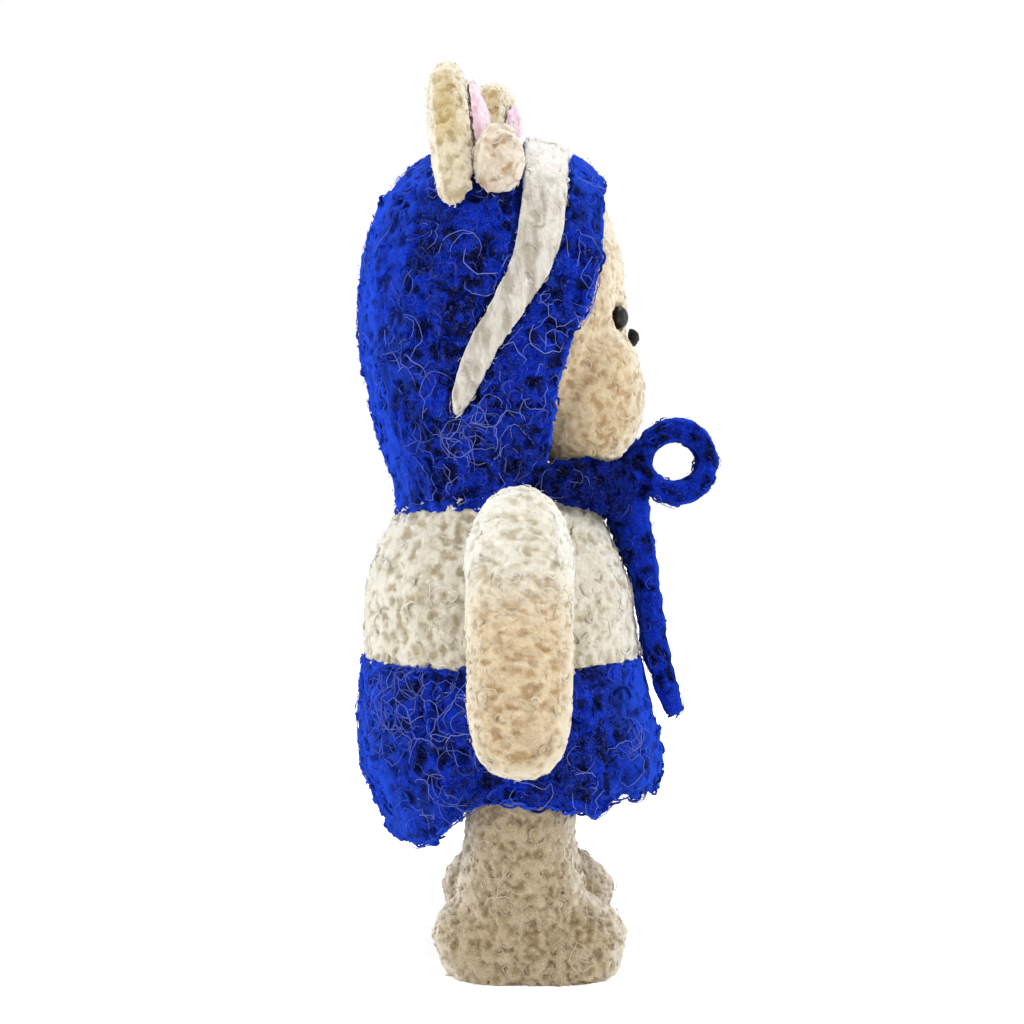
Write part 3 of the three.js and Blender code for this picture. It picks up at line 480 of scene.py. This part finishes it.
def wool_colour_group():
    """Colour and height of matted wool: with painted shade in its pits, mottled, with fine pale fibres across
    it.
    """
    name = "Wool colour"
    if name in bpy.data.node_groups:
        return bpy.data.node_groups[name]
    tree, given = new_group(name, "ShaderNodeTree", {
        "Place": "Vector", "Pit": 0.0, "Tone": 0.0, "Wool": "Color", "Recess": "Color", "Pale": "Color",
        "Mottle": 0.4, "Fibres": 0.4,
    }, {"Colour": "Color", "Height": "Float"})
    place, pit, tone = given["Place"], given["Pit"], given["Tone"]
    broad = add_noise(tree, place, BROAD_MOTTLE, detail=2.0)["Fac"]
    medium = add_noise(tree, place, SMALL_MOTTLE, detail=2.0, distortion=1.2)["Fac"]
    fine = add_noise(tree, place, FINE_STRANDS, detail=2.0, distortion=1.6)["Fac"]
    strand = add_range(tree, add_math(tree, "ABSOLUTE", minus(tree, fine, 0.5)), STRAND_WIDTH, 0.0)
    patch = plus(tree, add_range(tree, broad, *BROAD_PATCHES), add_range(tree, medium, *SMALL_PATCHES))
    # painted shade in the pits, plus the wool's own random mottle
    dark = plus(tree, times(tree, pit, 1.15), times(tree, patch, given["Mottle"]), clamp=True)
    hidden = minus(tree, 1.0, times(tree, pit, 0.45), clamp=True)
    pale = plus(tree, times(tree, times(tree, strand, given["Fibres"]), hidden), tone, clamp=True)
    lit = times(tree, dark, minus(tree, 1.0, tone, clamp=True))
    shade = mix_colour(tree, lit, given["Wool"], given["Recess"])
    shade = mix_colour(tree, pale, shade, given["Pale"])
    height = plus(tree, times(tree, medium, 0.6), times(tree, strand, 0.4))
    add_node(tree, "NodeGroupOutput", {"Colour": shade, "Height": height})
    return tree


BROAD_MOTTLE, SMALL_MOTTLE, FINE_STRANDS = 210.0, 900.0, 2600.0  # how many of each lie along a metre
BROAD_PATCHES = (0.62, 0.36, 0.0, 0.45)  # two noise values, and how dark the wool is at each
SMALL_PATCHES = (0.6, 0.36, 0.0, 0.55)
STRAND_WIDTH = 0.07  # in noise values


def new_material(name):
    """A new material's tree and a place in it that moves with the piece."""
    made = bpy.data.materials.new(name)
    made.use_nodes = True
    tree = made.node_tree
    tree.nodes.clear()
    return made, tree, add_node(tree, "ShaderNodeTexCoord").outputs["Object"]


def add_surface(tree, values):
    shader = add_step(tree, "ShaderNodeBsdfPrincipled", values)
    add_node(tree, "ShaderNodeOutputMaterial", {"Surface": shader})


def add_bump(tree, height, strength, distance):
    return add_step(tree, "ShaderNodeBump", {"Height": height, "Strength": strength, "Distance": distance})


def own_value(tree, name, part="Fac"):
    return add_node(tree, "ShaderNodeAttribute", attribute_name=name).outputs[part]


def painted_rim_light(tree, pit, bump, rim_strength):
    """How much painted highlight wool gets where it is seen edge on, on its form's rim and on each curl's own
    edge.
    """
    facing = add_node(tree, "ShaderNodeLayerWeight", {"Blend": 0.5, "Normal": bump}).outputs["Facing"]
    outward = add_step(
        tree, "ShaderNodeVectorTransform", {0: own_value(tree, FORM, "Vector")}, vector_type="NORMAL",
        convert_from="OBJECT", convert_to="WORLD",
    )
    incoming = add_node(tree, "ShaderNodeNewGeometry").outputs["Incoming"]
    straight = add_math(tree, "ABSOLUTE", add_vector_math(tree, "DOT_PRODUCT", incoming, outward))
    rim = times(tree, add_range(tree, straight, *RIM), rim_strength)
    fluff = times(tree, add_range(tree, facing, *FLUFF), FLUFF_STRENGTH)
    open_share = minus(tree, 1.0, times(tree, pit, 0.8), clamp=True)
    return times(tree, add_math(tree, "MAXIMUM", rim, fluff), open_share)


def wool_material(name, shades, mottle, fibres, grain, rim_strength, fade=None):
    """Matte wool with painted pit shade and rim highlight. fade gives the wool, pit shade and rim highlight
    that it turns into from high to low.
    """
    if name in bpy.data.materials:
        return bpy.data.materials[name]
    made, tree, place = new_material(name)
    *shades, pale = [(*shade, 1) for shade in shades]
    sheen = shades[-1]
    if fade:
        *others, high, low = fade
        wander = add_noise(tree, place, 260.0, detail=3.0)["Fac"]
        height = add_node(tree, "ShaderNodeSeparateXYZ", {0: place}).outputs["Z"]
        ragged = plus(tree, height, times(tree, wander, FADE_WANDER))
        share = add_range(tree, ragged, high + FADE_WANDER / 2, low + FADE_WANDER / 2)
        shades = [mix_colour(tree, share, shade, (*other, 1)) for shade, other in zip(shades, others)]
    wool_colour, pit_shade_colour, rim_highlight_colour = shades
    pit = own_value(tree, PIT)
    matted = add_node(
        tree, "ShaderNodeGroup",
        {
            "Place": add_vector_math(tree, "MULTIPLY", place, grain), "Pit": pit,
            "Tone": own_value(tree, TONE), "Wool": wool_colour, "Recess": pit_shade_colour, "Pale": pale,
            "Mottle": mottle, "Fibres": fibres,
        },
        node_tree=wool_colour_group(),
    ).outputs
    bump = add_bump(tree, matted["Height"], 0.7, 0.15 * MM)
    rim_highlight_share = painted_rim_light(tree, pit, bump, rim_strength)
    # the painted rim highlight is mixed into the base colour where the wool is seen edge on
    add_surface(tree, {
        "Base Color": mix_colour(tree, rim_highlight_share, matted["Colour"], rim_highlight_colour), "Roughness": 1.0,
        "Specular IOR Level": 0.0, "Sheen Weight": 0.04, "Sheen Roughness": 0.5, "Sheen Tint": sheen,
        "Normal": bump,
    })
    return made


FADE_WANDER = 4 * MM  # how far up and down the line wanders where one wool fades into another
# RIM and FLUFF shape the painted rim highlight
RIM = (0.84, 0.28)  # how straight on a form is seen where its bright rim starts, and where it is full
FLUFF = (0.35, 0.9)  # how far a curl turns away where its own bright edge starts, and where it is full
FLUFF_STRENGTH = 0.6


EVEN, FINE = (1, 1, 1), (1.2, 1.2, 1.2)
# each wool's last value is the strength of its painted rim highlight
WOOLS = {
    "blue": (0.75, 0.14, EVEN, 0.9),
    "bow": (0.4, 0.1, EVEN, 0.55),
    # the ties' blue is painted darker, as shade under the chin
    "tie": (0.9, 0.14, EVEN, 0.3),
    "beige": (0.45, 0.4, FINE, 0.9),
    # the legs' beige is painted darker, as shade under the skirt
    "leg": (0.3, 0.6, FINE, 0.9),
    "white": (0.4, 0.35, FINE, 0.9),
    "ivory": (0.45, 0.35, FINE, 0.9),
    "fold": (0.4, 0.35, FINE, 0.9),
    "pink": (0.3, 0.3, EVEN, 0.9),
    "nose": (0.3, 0.3, EVEN, 0.5),
    "sleeve": (0.4, 0.4, (1.2, 0.9, 1.6), 0.9),
    "stripe": (0.5, 0.4, (1.8, 1.8, 0.5), 0.9),
}  # how mottled, how strong and how fine each way its small fibres are, and how bright its rim is


def shades_of(kind):
    return [tuple(getattr(colours(), kind + ending)) for ending, _ in zip(SHADE_PARTS, WOOL_SHADES[kind][1:])]


def wool(kind):
    """The material of one kind of wool. The sleeve's and the ear's change on their way down, and the stripe's
    painted highlight fades out on its way down.
    """
    shades = shades_of("blue" if kind == "bow" else kind)
    fade = None
    if kind == "sleeve":
        fade = (*shades_of("beige")[:3], *SLEEVE_FADE)
    elif kind == "stripe":
        fade = (*shades[:3], *STRIPE_FADE)
        # the stripe's top gets a painted highlight: whiter wool and paler pit shade
        shades[:2] = shades_of("stripe_top_highlight")
    elif kind == "ivory":
        fade = (*shades_of("ear_foot"), shades[2], *EAR_FADE)
    return wool_material(f"{kind.capitalize()} wool", shades, *WOOLS[kind], fade)


SLEEVE_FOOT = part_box("right_sleeve")[0].z
STRIPE_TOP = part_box("bonnet_stripe")[1].z
EAR_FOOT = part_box("right_ear")[0].z
SLEEVE_FADE = (SLEEVE_FOOT + 7.5 * MM, SLEEVE_FOOT - 1.0 * MM)  # the heights where each fade starts and ends
# the stripe's painted highlight fades out between these heights, from its top down
STRIPE_FADE = (STRIPE_TOP - 2.5 * MM, STRIPE_TOP - 10 * MM)
EAR_FADE = (EAR_FOOT + 9.5 * MM, EAR_FOOT + 5.5 * MM)


def bead_material():
    made, tree, place = new_material("Glass bead")
    cloud = add_noise(tree, place, 900.0, detail=2.0)["Fac"]
    bead = colours().bead
    tint = mix_colour(tree, cloud, (*bead, 1), (*(BEAD_CLOUD * value for value in bead), 1))
    rough = add_range(tree, cloud, *BEAD_ROUGHNESS)
    add_surface(tree, {"Base Color": tint, "Roughness": rough, "Specular IOR Level": 0.3})
    return made


BEAD_CLOUD = 2.2  # how much lighter the faint clouds in a bead are
BEAD_ROUGHNESS = (0.3, 0.7, 0.22, 0.32)  # two noise values, and how rough the bead is at each


def steel_material():
    made, tree, place = new_material("Steel wire")
    drawn = add_vector_math(tree, "MULTIPLY", place, DRAWN_LINES)
    lines = add_noise(tree, drawn, 1.0, detail=2.0)["Fac"]
    steel = colours().steel
    tint = mix_colour(tree, lines, (*(STEEL_SHADE * value for value in steel), 1), (*steel, 1))
    rough = add_range(tree, lines, *STEEL_ROUGHNESS)
    bump = add_bump(tree, lines, 0.3, 0.01 * MM)
    add_surface(tree, {"Base Color": tint, "Roughness": rough, "Metallic": 1.0, "Normal": bump})
    return made


DRAWN_LINES = (4000.0, 4000.0, 150.0)  # how many lie along a metre of a wire, across it and along it
STEEL_SHADE = 0.8
STEEL_ROUGHNESS = (0.3, 0.7, 0.28, 0.42)  # two noise values, and how rough the wire is at each


# Pieces

SIDES = ("right", "left")


def link(obj):
    bpy.context.scene.collection.objects.link(obj)
    return obj


def settled(obj):
    """Turns a piece and its modifiers into one plain mesh."""
    bpy.context.view_layer.update()
    depsgraph = bpy.context.evaluated_depsgraph_get()
    mesh = bpy.data.meshes.new_from_object(
        obj.evaluated_get(depsgraph), preserve_all_data_layers=True, depsgraph=depsgraph
    )
    obj.modifiers.clear()
    obj.data = mesh
    mesh.name = obj.name
    return obj


def new_piece(name, shape, material=None):
    """An object made of the bmesh, which is used up."""
    mesh = bpy.data.meshes.new(name)
    shape.to_mesh(mesh)
    shape.free()
    if material:
        mesh.materials.append(material)
    return link(bpy.data.objects.new(name, mesh))


def corners_of(points):
    """The lowest and the highest corner of the box around the points."""
    points = list(points)
    return (Vector([pick(point[axis] for point in points) for axis in range(3)]) for pick in (min, max))


def draw_in(shape, height, share):
    """Makes a blank's lowest part narrower, so that its end comes out round."""
    low = min(vertex.co.z for vertex in shape.verts)
    ring = [vertex for vertex in shape.verts if vertex.co.z < low + height * MM]
    middle = sum(vertex.co.y for vertex in ring) / len(ring)
    for vertex in ring:
        vertex.co.y += (middle - vertex.co.y) * share


def square_soles(shape):
    """Fills out the heel's and the toes' outer corners low on a foot."""
    low, high = corners_of(vertex.co for vertex in shape.verts)
    middle = (low + high) / 2
    for vertex in shape.verts:
        along = (vertex.co.y - middle.y) / (high.y - middle.y)
        low_down = max(0.0, 1 - vertex.co.z / SOLE_REACH)
        vertex.co.x += (vertex.co.x - middle.x) * SOLE_CORNERS * along ** 2 * low_down


SOLE_REACH = 9 * MM  # height over which a foot's corners are filled out
SOLE_CORNERS = 0.6  # how much wider a foot gets at its two ends
MERGE_DISTANCE = 1e-7


def cad_blank(name, nodes, reach, swell, drop, end, back):
    """One mesh of the merged CAD forms, which reach grows up and down, and swell to the sides.

    drop lowers the part of it near its foot, and back moves it back. end squares a foot's sole, or gives
    the height of an end that is drawn in, and by what share.
    """
    shape = bmesh.new()
    for node in nodes:
        shape.from_mesh(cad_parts[node].data)
    bmesh.ops.remove_doubles(shape, verts=shape.verts, dist=MERGE_DISTANCE)
    shape.normal_update()
    grow = Vector((swell * MM, swell * MM, reach * finish().seam_reach))
    drop_height, drop_by = drop
    foot = min(vertex.co.z for vertex in shape.verts) + drop_height * MM
    for vertex in shape.verts:
        if vertex.co.z < foot:
            vertex.co.z -= drop_by * MM
        vertex.co += vertex.normal * grow
        vertex.co.y += back * MM
    if end == "sole":
        square_soles(shape)
    elif end:
        draw_in(shape, *end)
    return new_piece(name, shape)


def felted(
    name, blank, material, voxel=0.38, rounds=6, pits=1.0, spacing=1.0, lumps=1.0, inset=1.0,
    stretch=(1, 1, 1),
):
    """Rounds a blank off and gives it the lumps and needle pits of matted wool."""
    f = finish()
    remesh = blank.modifiers.new("Rounded", "REMESH")
    remesh.mode = "VOXEL"
    remesh.voxel_size = voxel * MM
    smooth = blank.modifiers.new("Softened", "SMOOTH")
    smooth.factor = 0.5
    smooth.iterations = rounds
    surface = blank.modifiers.new("Felted", "NODES")
    surface.node_group = felted_surface_tree()
    set_inputs(surface, {
        "Pit Spacing": f.pit_spacing * spacing, "Pit Depth": f.pit_depth * pits, "Lump Size": f.lump_size,
        "Lump Height": f.lump_height * lumps, "Inset": f.inset * inset, "Stretch": stretch,
        "Material": material,
    })
    blank.name = name
    return settled(blank)


def coat(
    name, piece, material, curls=1.0, strays=1.0, fuzz=1.0, size=1.0, seed=0, centre=None, all_round=False,
    tangle=None,
):
    """Fibres that grow on a finished wool piece, as a piece of their own."""
    f = finish()
    fibres = link(bpy.data.objects.new(name, piece.data.copy()))
    if centre is None:
        low, high = corners_of(piece.bound_box)
        centre = (low + high) / 2
    grown = fibres.modifiers.new("Coat", "NODES")
    grown.node_group = wool_coat_tree()
    set_inputs(grown, {
        "Outward Of": tuple(centre), "All Round": float(all_round), "Material": material, "Seed": seed,
        "Tangle Place": tangle or (0, 0, 0), "Tangle Reach": TANGLE_REACH if tangle else 0.0,
        "Curl Count": f.curl_count * curls, "Curl Radius": f.curl_radius * size,
        "Curl Thickness": f.curl_thickness * size,
        "Stray Count": f.stray_count * strays, "Stray Radius": f.stray_radius * size,
        "Stray Thickness": f.stray_thickness,
        "Fuzz Count": f.fuzz_count * fuzz, "Fuzz Radius": f.fuzz_radius * size,
        "Fuzz Thickness": f.fuzz_thickness,
    })
    return settled(fibres)


TANGLE_REACH = 9 * MM  # how far from its middle a tangle of stray fibres reaches


def hand_over(piece, body, slot, *nodes):
    """The finished piece moves with its body and stands for its CAD nodes."""
    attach(piece, body)
    if nodes:
        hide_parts(*nodes)


def pad_shoulders(piece, from_side, to_side, height):
    """Moves a soft patch around the shoulders' hinge outwards, between two distances from the middle."""
    axle = middle_of("shoulder_wire")
    for vertex in piece.data.vertices:
        x, y, z = vertex.co
        away = math.hypot(y - axle.y, z - axle.z) / PAD_RADIUS
        if away < 1 and from_side * MM < abs(x) < to_side * MM:
            vertex.co.x += math.copysign(height * MM * (1 - away ** 2), x)


PAD_RADIUS = 4.4 * MM


def dress(
    name, nodes, slot, kind, fibres, body="body", reach=1.0, swell=0.0, drop=(0.0, 0.0), end=None, back=0.0,
    centre=None, pad=None, **surface,
):
    """Felts a piece over its CAD nodes and grows its fibres."""
    blank = cad_blank(name, nodes, reach, swell, drop, end, back)
    piece = felted(f"{name}_wool", blank, wool(kind), **surface)
    if pad:
        pad_shoulders(piece, *pad)
    coating = coat(f"{name}_fibres", piece, wool(kind), centre=centre, **fibres)
    hand_over(piece, body, slot, *nodes)
    hand_over(coating, body, slot)
    return piece


def middle_of(node):
    low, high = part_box(node)
    return (low + high) / 2


class MakeFace(bpy.types.Operator):
    """Felts the head and its full cheeks as one beige form"""

    bl_idname = "felt_doll.make_face"
    bl_label = "Face"

    def execute(self, context):
        dress("face", ("head", "right_cheek", "left_cheek"), "cream_wool", "beige",
              voxel=0.34, pits=0.5, spacing=0.58, lumps=0.6,
              fibres=dict(curls=0.8, strays=0.2, fuzz=1.2, size=0.7, seed=100))
        return {"FINISHED"}


class MakeNose(bpy.types.Operator):
    """Felts the small dark nose"""

    bl_idname = "felt_doll.make_nose"
    bl_label = "Nose"

    def execute(self, context):
        dress("nose", ("nose",), "nose_wool", "nose", back=0.4, reach=0.0, swell=-0.15,
              voxel=0.2, pits=0.25, lumps=0.3, rounds=4,
              fibres=dict(curls=0.0, strays=0.0, fuzz=1.5, size=0.5, seed=120))
        return {"FINISHED"}


class MakeEyes(bpy.types.Operator):
    """Turns two polished oval beads"""

    bl_idname = "felt_doll.make_eyes"
    bl_label = "Eyes"

    def execute(self, context):
        glass = bead_material()
        for side in SIDES:
            low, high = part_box(f"{side}_eye")
            half = (high - low) / 2 * BEAD_SHARE
            bead = bmesh.new()
            bmesh.ops.create_uvsphere(bead, u_segments=BEAD_SEGMENTS, v_segments=BEAD_RINGS, radius=1)
            for vertex in bead.verts:
                x, y, z = vertex.co
                flat = 1 - BEAD_FLATNESS * max(y, 0) ** 2
                vertex.co = Vector((x * half.x, y * flat * half.y, z * half.z)) + (low + high) / 2
            for face in bead.faces:
                face.smooth = True
            piece = new_piece(f"{side}_bead", bead, glass)
            hand_over(piece, "body", "bead", f"{side}_eye")
        return {"FINISHED"}


BEAD_SEGMENTS, BEAD_RINGS = 40, 24
BEAD_FLATNESS = 0.15
BEAD_SHARE = 0.8  # the bead's size against its seat, which the face's wool closes in on


class MakeEars(bpy.types.Operator):
    """Felts the ears with their folds and pink linings"""

    bl_idname = "felt_doll.make_ears"
    bl_label = "Ears"

    def execute(self, context):
        for number, side in enumerate(SIDES):
            dress(f"{side}_ear", (f"{side}_ear",), "ivory_wool", "ivory", reach=0.8, swell=0.3,
                  voxel=0.26, pits=0.5, spacing=0.6, lumps=0.7, rounds=4,
                  fibres=dict(curls=1.0, strays=0.1, fuzz=2.2, size=0.6, seed=140 + number))
            dress(f"{side}_fold", (f"{side}_ear_fold",), "ivory_wool", "fold", swell=0.35,
                  voxel=0.28, pits=0.5, spacing=0.8, lumps=0.8, rounds=4,
                  fibres=dict(curls=0.3, strays=0.1, fuzz=2.2, size=0.8, seed=145 + number))
            dress(f"{side}_lining", (f"{side}_ear_lining",), "pink_wool", "pink", swell=0.3,
                  voxel=0.26, pits=0.4, lumps=0.4, rounds=3,
                  fibres=dict(curls=0.4, strays=0.0, fuzz=4.0, size=0.8, seed=150 + number))
        return {"FINISHED"}


class MakeBonnet(bpy.types.Operator):
    """Felts the blue bonnet"""

    bl_idname = "felt_doll.make_bonnet"
    bl_label = "Bonnet"

    def execute(self, context):
        low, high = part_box("bonnet_stripe")
        under_stripe = (0, high.y - 1 * MM, low.z - 2 * MM)
        dress("bonnet", ("bonnet",), "blue_wool", "blue", centre=middle_of("head"),
              swell=0.2, drop=(1.5, 1.0), voxel=0.36,
              fibres=dict(fuzz=0.8, seed=200, tangle=under_stripe))
        return {"FINISHED"}


class MakeStripe(bpy.types.Operator):
    """Felts the white stripe into the bonnet"""

    bl_idname = "felt_doll.make_stripe"
    bl_label = "Bonnet stripe"

    def execute(self, context):
        dress("stripe", ("bonnet_stripe",), "white_wool", "stripe", centre=middle_of("head"),
              swell=-0.1, end=(1.5, 0.4), voxel=0.3, pits=0.35, spacing=0.8, lumps=0.3, inset=0.2,
              stretch=(1.3, 1.3, 0.35),
              fibres=dict(curls=0.8, strays=0.6, fuzz=4.0, size=0.8, seed=220))
        return {"FINISHED"}


class MakeBow(bpy.types.Operator):
    """Felts the knot with its loops, and the ties that run up to the bonnet"""

    bl_idname = "felt_doll.make_bow"
    bl_label = "Bow"

    def execute(self, context):
        dress("bow", ("bow_knot", "right_bow_loop", "left_bow_loop"), "blue_wool", "bow",
              voxel=0.28, pits=0.4, lumps=0.7, rounds=5,
              fibres=dict(curls=0.9, strays=0.15, seed=240, **CORD_FIBRES))
        # the ties get the blue painted darker, as shade under the chin
        dress("ties", ("right_neck_tie", "left_neck_tie"), "blue_wool", "tie", swell=0.15,
              voxel=0.28, pits=0.8, lumps=0.7, rounds=4,
              fibres=dict(curls=0.9, strays=0.5, seed=250, **CORD_FIBRES))
        return {"FINISHED"}


class MakeTails(bpy.types.Operator):
    """Felts the two stiff tails of the bow"""

    bl_idname = "felt_doll.make_tails"
    bl_label = "Tails"

    def execute(self, context):
        for number, side in enumerate(SIDES):
            dress(f"{side}_tail", (f"{side}_tie_tail",), "blue_wool", "bow",
                  reach=0.8, swell=0.25, end=(0.8, 0.6), voxel=0.28, pits=0.35, lumps=0.9, rounds=10,
                  inset=0.5,
                  fibres=dict(curls=0.9, strays=0.2, seed=260 + number, **CORD_FIBRES))
        return {"FINISHED"}


CORD_FIBRES = {"fuzz": 1.2, "size": 0.75, "all_round": True}


class MakeBlouse(bpy.types.Operator):
    """Felts the white blouse"""

    bl_idname = "felt_doll.make_blouse"
    bl_label = "Blouse"

    def execute(self, context):
        dress("blouse", ("blouse",), "white_wool", "white", reach=2.4, swell=0.2, pad=(11, 17, 1.9),
              pits=0.65, spacing=0.8, fibres=dict(curls=0.6, strays=0.3, seed=300))
        return {"FINISHED"}


class MakeBody(bpy.types.Operator):
    """Felts the beige body under the clothes"""

    bl_idname = "felt_doll.make_body"
    bl_label = "Body"

    def execute(self, context):
        dress("body", ("body_core",), "cream_wool", "beige", reach=0.0, voxel=0.5,
              fibres=dict(curls=0.1, strays=0.0, fuzz=0.1, seed=320))
        return {"FINISHED"}


class MakeSkirt(bpy.types.Operator):
    """Felts the flared blue skirt with its ragged hem"""

    bl_idname = "felt_doll.make_skirt"
    bl_label = "Skirt"

    def execute(self, context):
        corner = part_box("skirt")[1]
        under_waist = (0, corner.y - 5 * MM, corner.z - 4 * MM)
        skirt = dress(
            "skirt", ("skirt",), "blue_wool", "blue", centre=middle_of("skirt"), reach=1.6,
            voxel=0.36, lumps=1.3,
            fibres=dict(strays=1.1, fuzz=0.8, seed=340, tangle=under_waist),
        )
        hem = facing_down(skirt, "skirt_hem")
        tufts = coat(
            "hem_tufts", hem, wool("blue"), curls=HEM_CURLS, strays=1.5, fuzz=1.5, seed=344, all_round=True
        )
        bpy.data.objects.remove(hem)
        hand_over(tufts, "body", "blue_wool")
        return {"FINISHED"}


HEM_CURLS = 4.0
HEM_FACING = -0.55  # how far down a face looks that belongs to the hem


def facing_down(piece, name):
    """A copy of the piece's faces that look down."""
    shape = bmesh.new()
    shape.from_mesh(piece.data)
    shape.normal_update()
    others = [face for face in shape.faces if face.normal.z > HEM_FACING]
    bmesh.ops.delete(shape, geom=others, context="FACES")
    return new_piece(name, shape)


class MakeLegs(bpy.types.Operator):
    """Felts each leg and its foot together"""

    bl_idname = "felt_doll.make_legs"
    bl_label = "Legs and feet"

    def execute(self, context):
        for number, side in enumerate(SIDES):
            dress(f"{side}_leg", (f"{side}_leg", f"{side}_foot"), "cream_wool", "leg",
                  reach=1.6, swell=0.4, drop=(0.3, 2), end="sole", voxel=0.3, pits=0.85, spacing=0.6,
                  inset=0.5,
                  fibres=dict(curls=1.0, strays=0.5, size=0.75, seed=360 + number))
        return {"FINISHED"}


class MakeArms(bpy.types.Operator):
    """Felts each arm with the white sleeve that fades into it"""

    bl_idname = "felt_doll.make_arms"
    bl_label = "Arms"

    def execute(self, context):
        for number, side in enumerate(SIDES):
            arm = f"{side}_arm"
            dress(arm, (f"{side}_arm_felt", f"{side}_sleeve"), "cream_wool", "sleeve", body=arm, swell=0.3,
                  pad=(14, 18.5, 0.5), voxel=0.3, pits=0.65, spacing=0.6, inset=0.5, stretch=(1, 0.6, 1.15),
                  fibres=dict(curls=1.0, strays=0.25, size=0.7, seed=380 + number))
        return {"FINISHED"}


class MakeWires(bpy.types.Operator):
    """Gives the wires inside the doll their drawn steel"""

    bl_idname = "felt_doll.make_wires"
    bl_label = "Wires"

    def execute(self, context):
        steel = steel_material()
        for name in ("spine_wire", "shoulder_wire", "right_leg_wire", "left_leg_wire"):
            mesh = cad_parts[name].data
            mesh.materials.clear()
            mesh.materials.append(steel)
        return {"FINISHED"}


# Stage

LAMP_SIZE = 0.3
LAMPS_AIM = (0, 0, 0.055)
LAMPS = {
    "front_lamp": ("side_light", (-0.08, -0.3, 0.14)),
    "back_lamp": ("side_light", (-0.06, 0.3, 0.14)),
    "top_lamp": ("top_light", (-0.02, 0, 0.42)),
    "right_lamp": ("near_light", (-0.32, 0, 0.16)),
    "left_lamp": ("near_light", (0.32, 0, 0.16)),
}  # the setting that gives each lamp's power, and the lamp's place


def add_lamp(name, power, place):
    lamp = bpy.data.lights.new(name, "AREA")
    lamp.energy = power
    lamp.size = LAMP_SIZE
    made = link(bpy.data.objects.new(name, lamp))
    made.location = place
    made.rotation_euler = (Vector(LAMPS_AIM) - Vector(place)).to_track_quat("-Z", "Y").to_euler()


def background_rays(tree):
    """1 where a ray sees the surroundings straight, in a mirror or through glass."""
    path = add_node(tree, "ShaderNodeLightPath").outputs
    seen = add_math(tree, "MAXIMUM", path["Is Camera Ray"], path["Is Glossy Ray"])
    return add_math(tree, "MAXIMUM", seen, path["Is Transmission Ray"])


def make_world(strength):
    world = bpy.data.worlds.new("Studio")
    world.use_nodes = True
    tree = world.node_tree
    tree.nodes.clear()
    level = plus(tree, times(tree, background_rays(tree), 1.0 - strength), strength)
    light = add_step(tree, "ShaderNodeBackground", {"Color": (1, 1, 1, 1), "Strength": level})
    add_node(tree, "ShaderNodeOutputWorld", {"Surface": light})
    bpy.context.scene.world = world


def make_floor():
    made, tree, place = new_material("Studio floor")
    grain = add_noise(tree, place, 30.0, detail=2.0)["Fac"]
    tint = mix_colour(tree, grain, (0.93, 0.93, 0.93, 1), (0.95, 0.95, 0.95, 1))
    away = add_range(tree, add_vector_math(tree, "LENGTH", place), *FLOOR_GLOW)
    add_surface(tree, {
        "Base Color": tint, "Roughness": 1.0, "Specular IOR Level": 0.0, "Emission Color": (1, 1, 1, 1),
        "Emission Strength": times(tree, background_rays(tree), away),
    })
    shape = bmesh.new()
    bmesh.ops.create_grid(shape, x_segments=1, y_segments=1, size=FLOOR_REACH)
    floor = new_piece("studio_floor", shape, made)


FLOOR_REACH = 1.5
FLOOR_GLOW = (0.05, 0.22, 0.42, 1.0)  # two distances, and how strongly the floor glows at each
SENSOR_WIDTH = 36
CLIP_START, CLIP_END = 0.005, 10


class MakeStage(bpy.types.Operator):
    """Sets up the floor, the soft lamps and the camera"""

    bl_idname = "felt_doll.make_stage"
    bl_label = "Studio"

    def execute(self, context):
        s = context.scene.felt_doll_studio
        context.scene.view_settings.view_transform = "Standard"
        make_world(s.world)
        make_floor()
        for name, (power, place) in LAMPS.items():
            add_lamp(name, getattr(s, power), place)
        camera = bpy.data.cameras.new("photo_camera")
        camera.lens = s.lens
        camera.sensor_width = SENSOR_WIDTH
        camera.clip_start = CLIP_START
        camera.clip_end = CLIP_END
        made = link(bpy.data.objects.new("photo_camera", camera))
        made.location = (-s.distance, middle_of("shoulder_wire").y + s.behind, s.height)
        made.rotation_euler = (math.pi / 2, 0, -math.pi / 2)
        context.scene.camera = made
        return {"FINISHED"}


class FeltDollPanel(bpy.types.Panel):
    """Lists the doll's sizes and colours and the steps that make it"""

    bl_idname = "VIEW3D_PT_felt_doll"
    bl_label = "Felt Doll"
    bl_space_type = "VIEW_3D"
    bl_region_type = "UI"
    bl_category = "Felt Doll"

    def draw(self, context):
        for holder, group in SETTINGS:
            column = self.layout.box().column()
            for name in group.__annotations__:
                column.prop(getattr(context.scene, holder), name)
        for maker in MAKERS:
            self.layout.operator(maker.bl_idname)


MAKERS = (
    MakeStage, MakeWires, MakeBody, MakeBlouse, MakeSkirt, MakeLegs, MakeArms, MakeFace, MakeNose, MakeEyes,
    MakeBonnet, MakeStripe, MakeEars, MakeBow, MakeTails,
)


def register():
    for holder, group in SETTINGS:
        bpy.utils.register_class(group)
        setattr(bpy.types.Scene, holder, bpy.props.PointerProperty(type=group))
    for maker in MAKERS:
        bpy.utils.register_class(maker)
    bpy.utils.register_class(FeltDollPanel)


def unregister():
    bpy.utils.unregister_class(FeltDollPanel)
    for maker in reversed(MAKERS):
        bpy.utils.unregister_class(maker)
    for holder, group in reversed(SETTINGS):
        delattr(bpy.types.Scene, holder)
        bpy.utils.unregister_class(group)


def main():
    register()
    for maker in MAKERS:
        getattr(bpy.ops.felt_doll, maker.bl_idname.split(".")[1])()


if __name__ == "__main__":
    main()
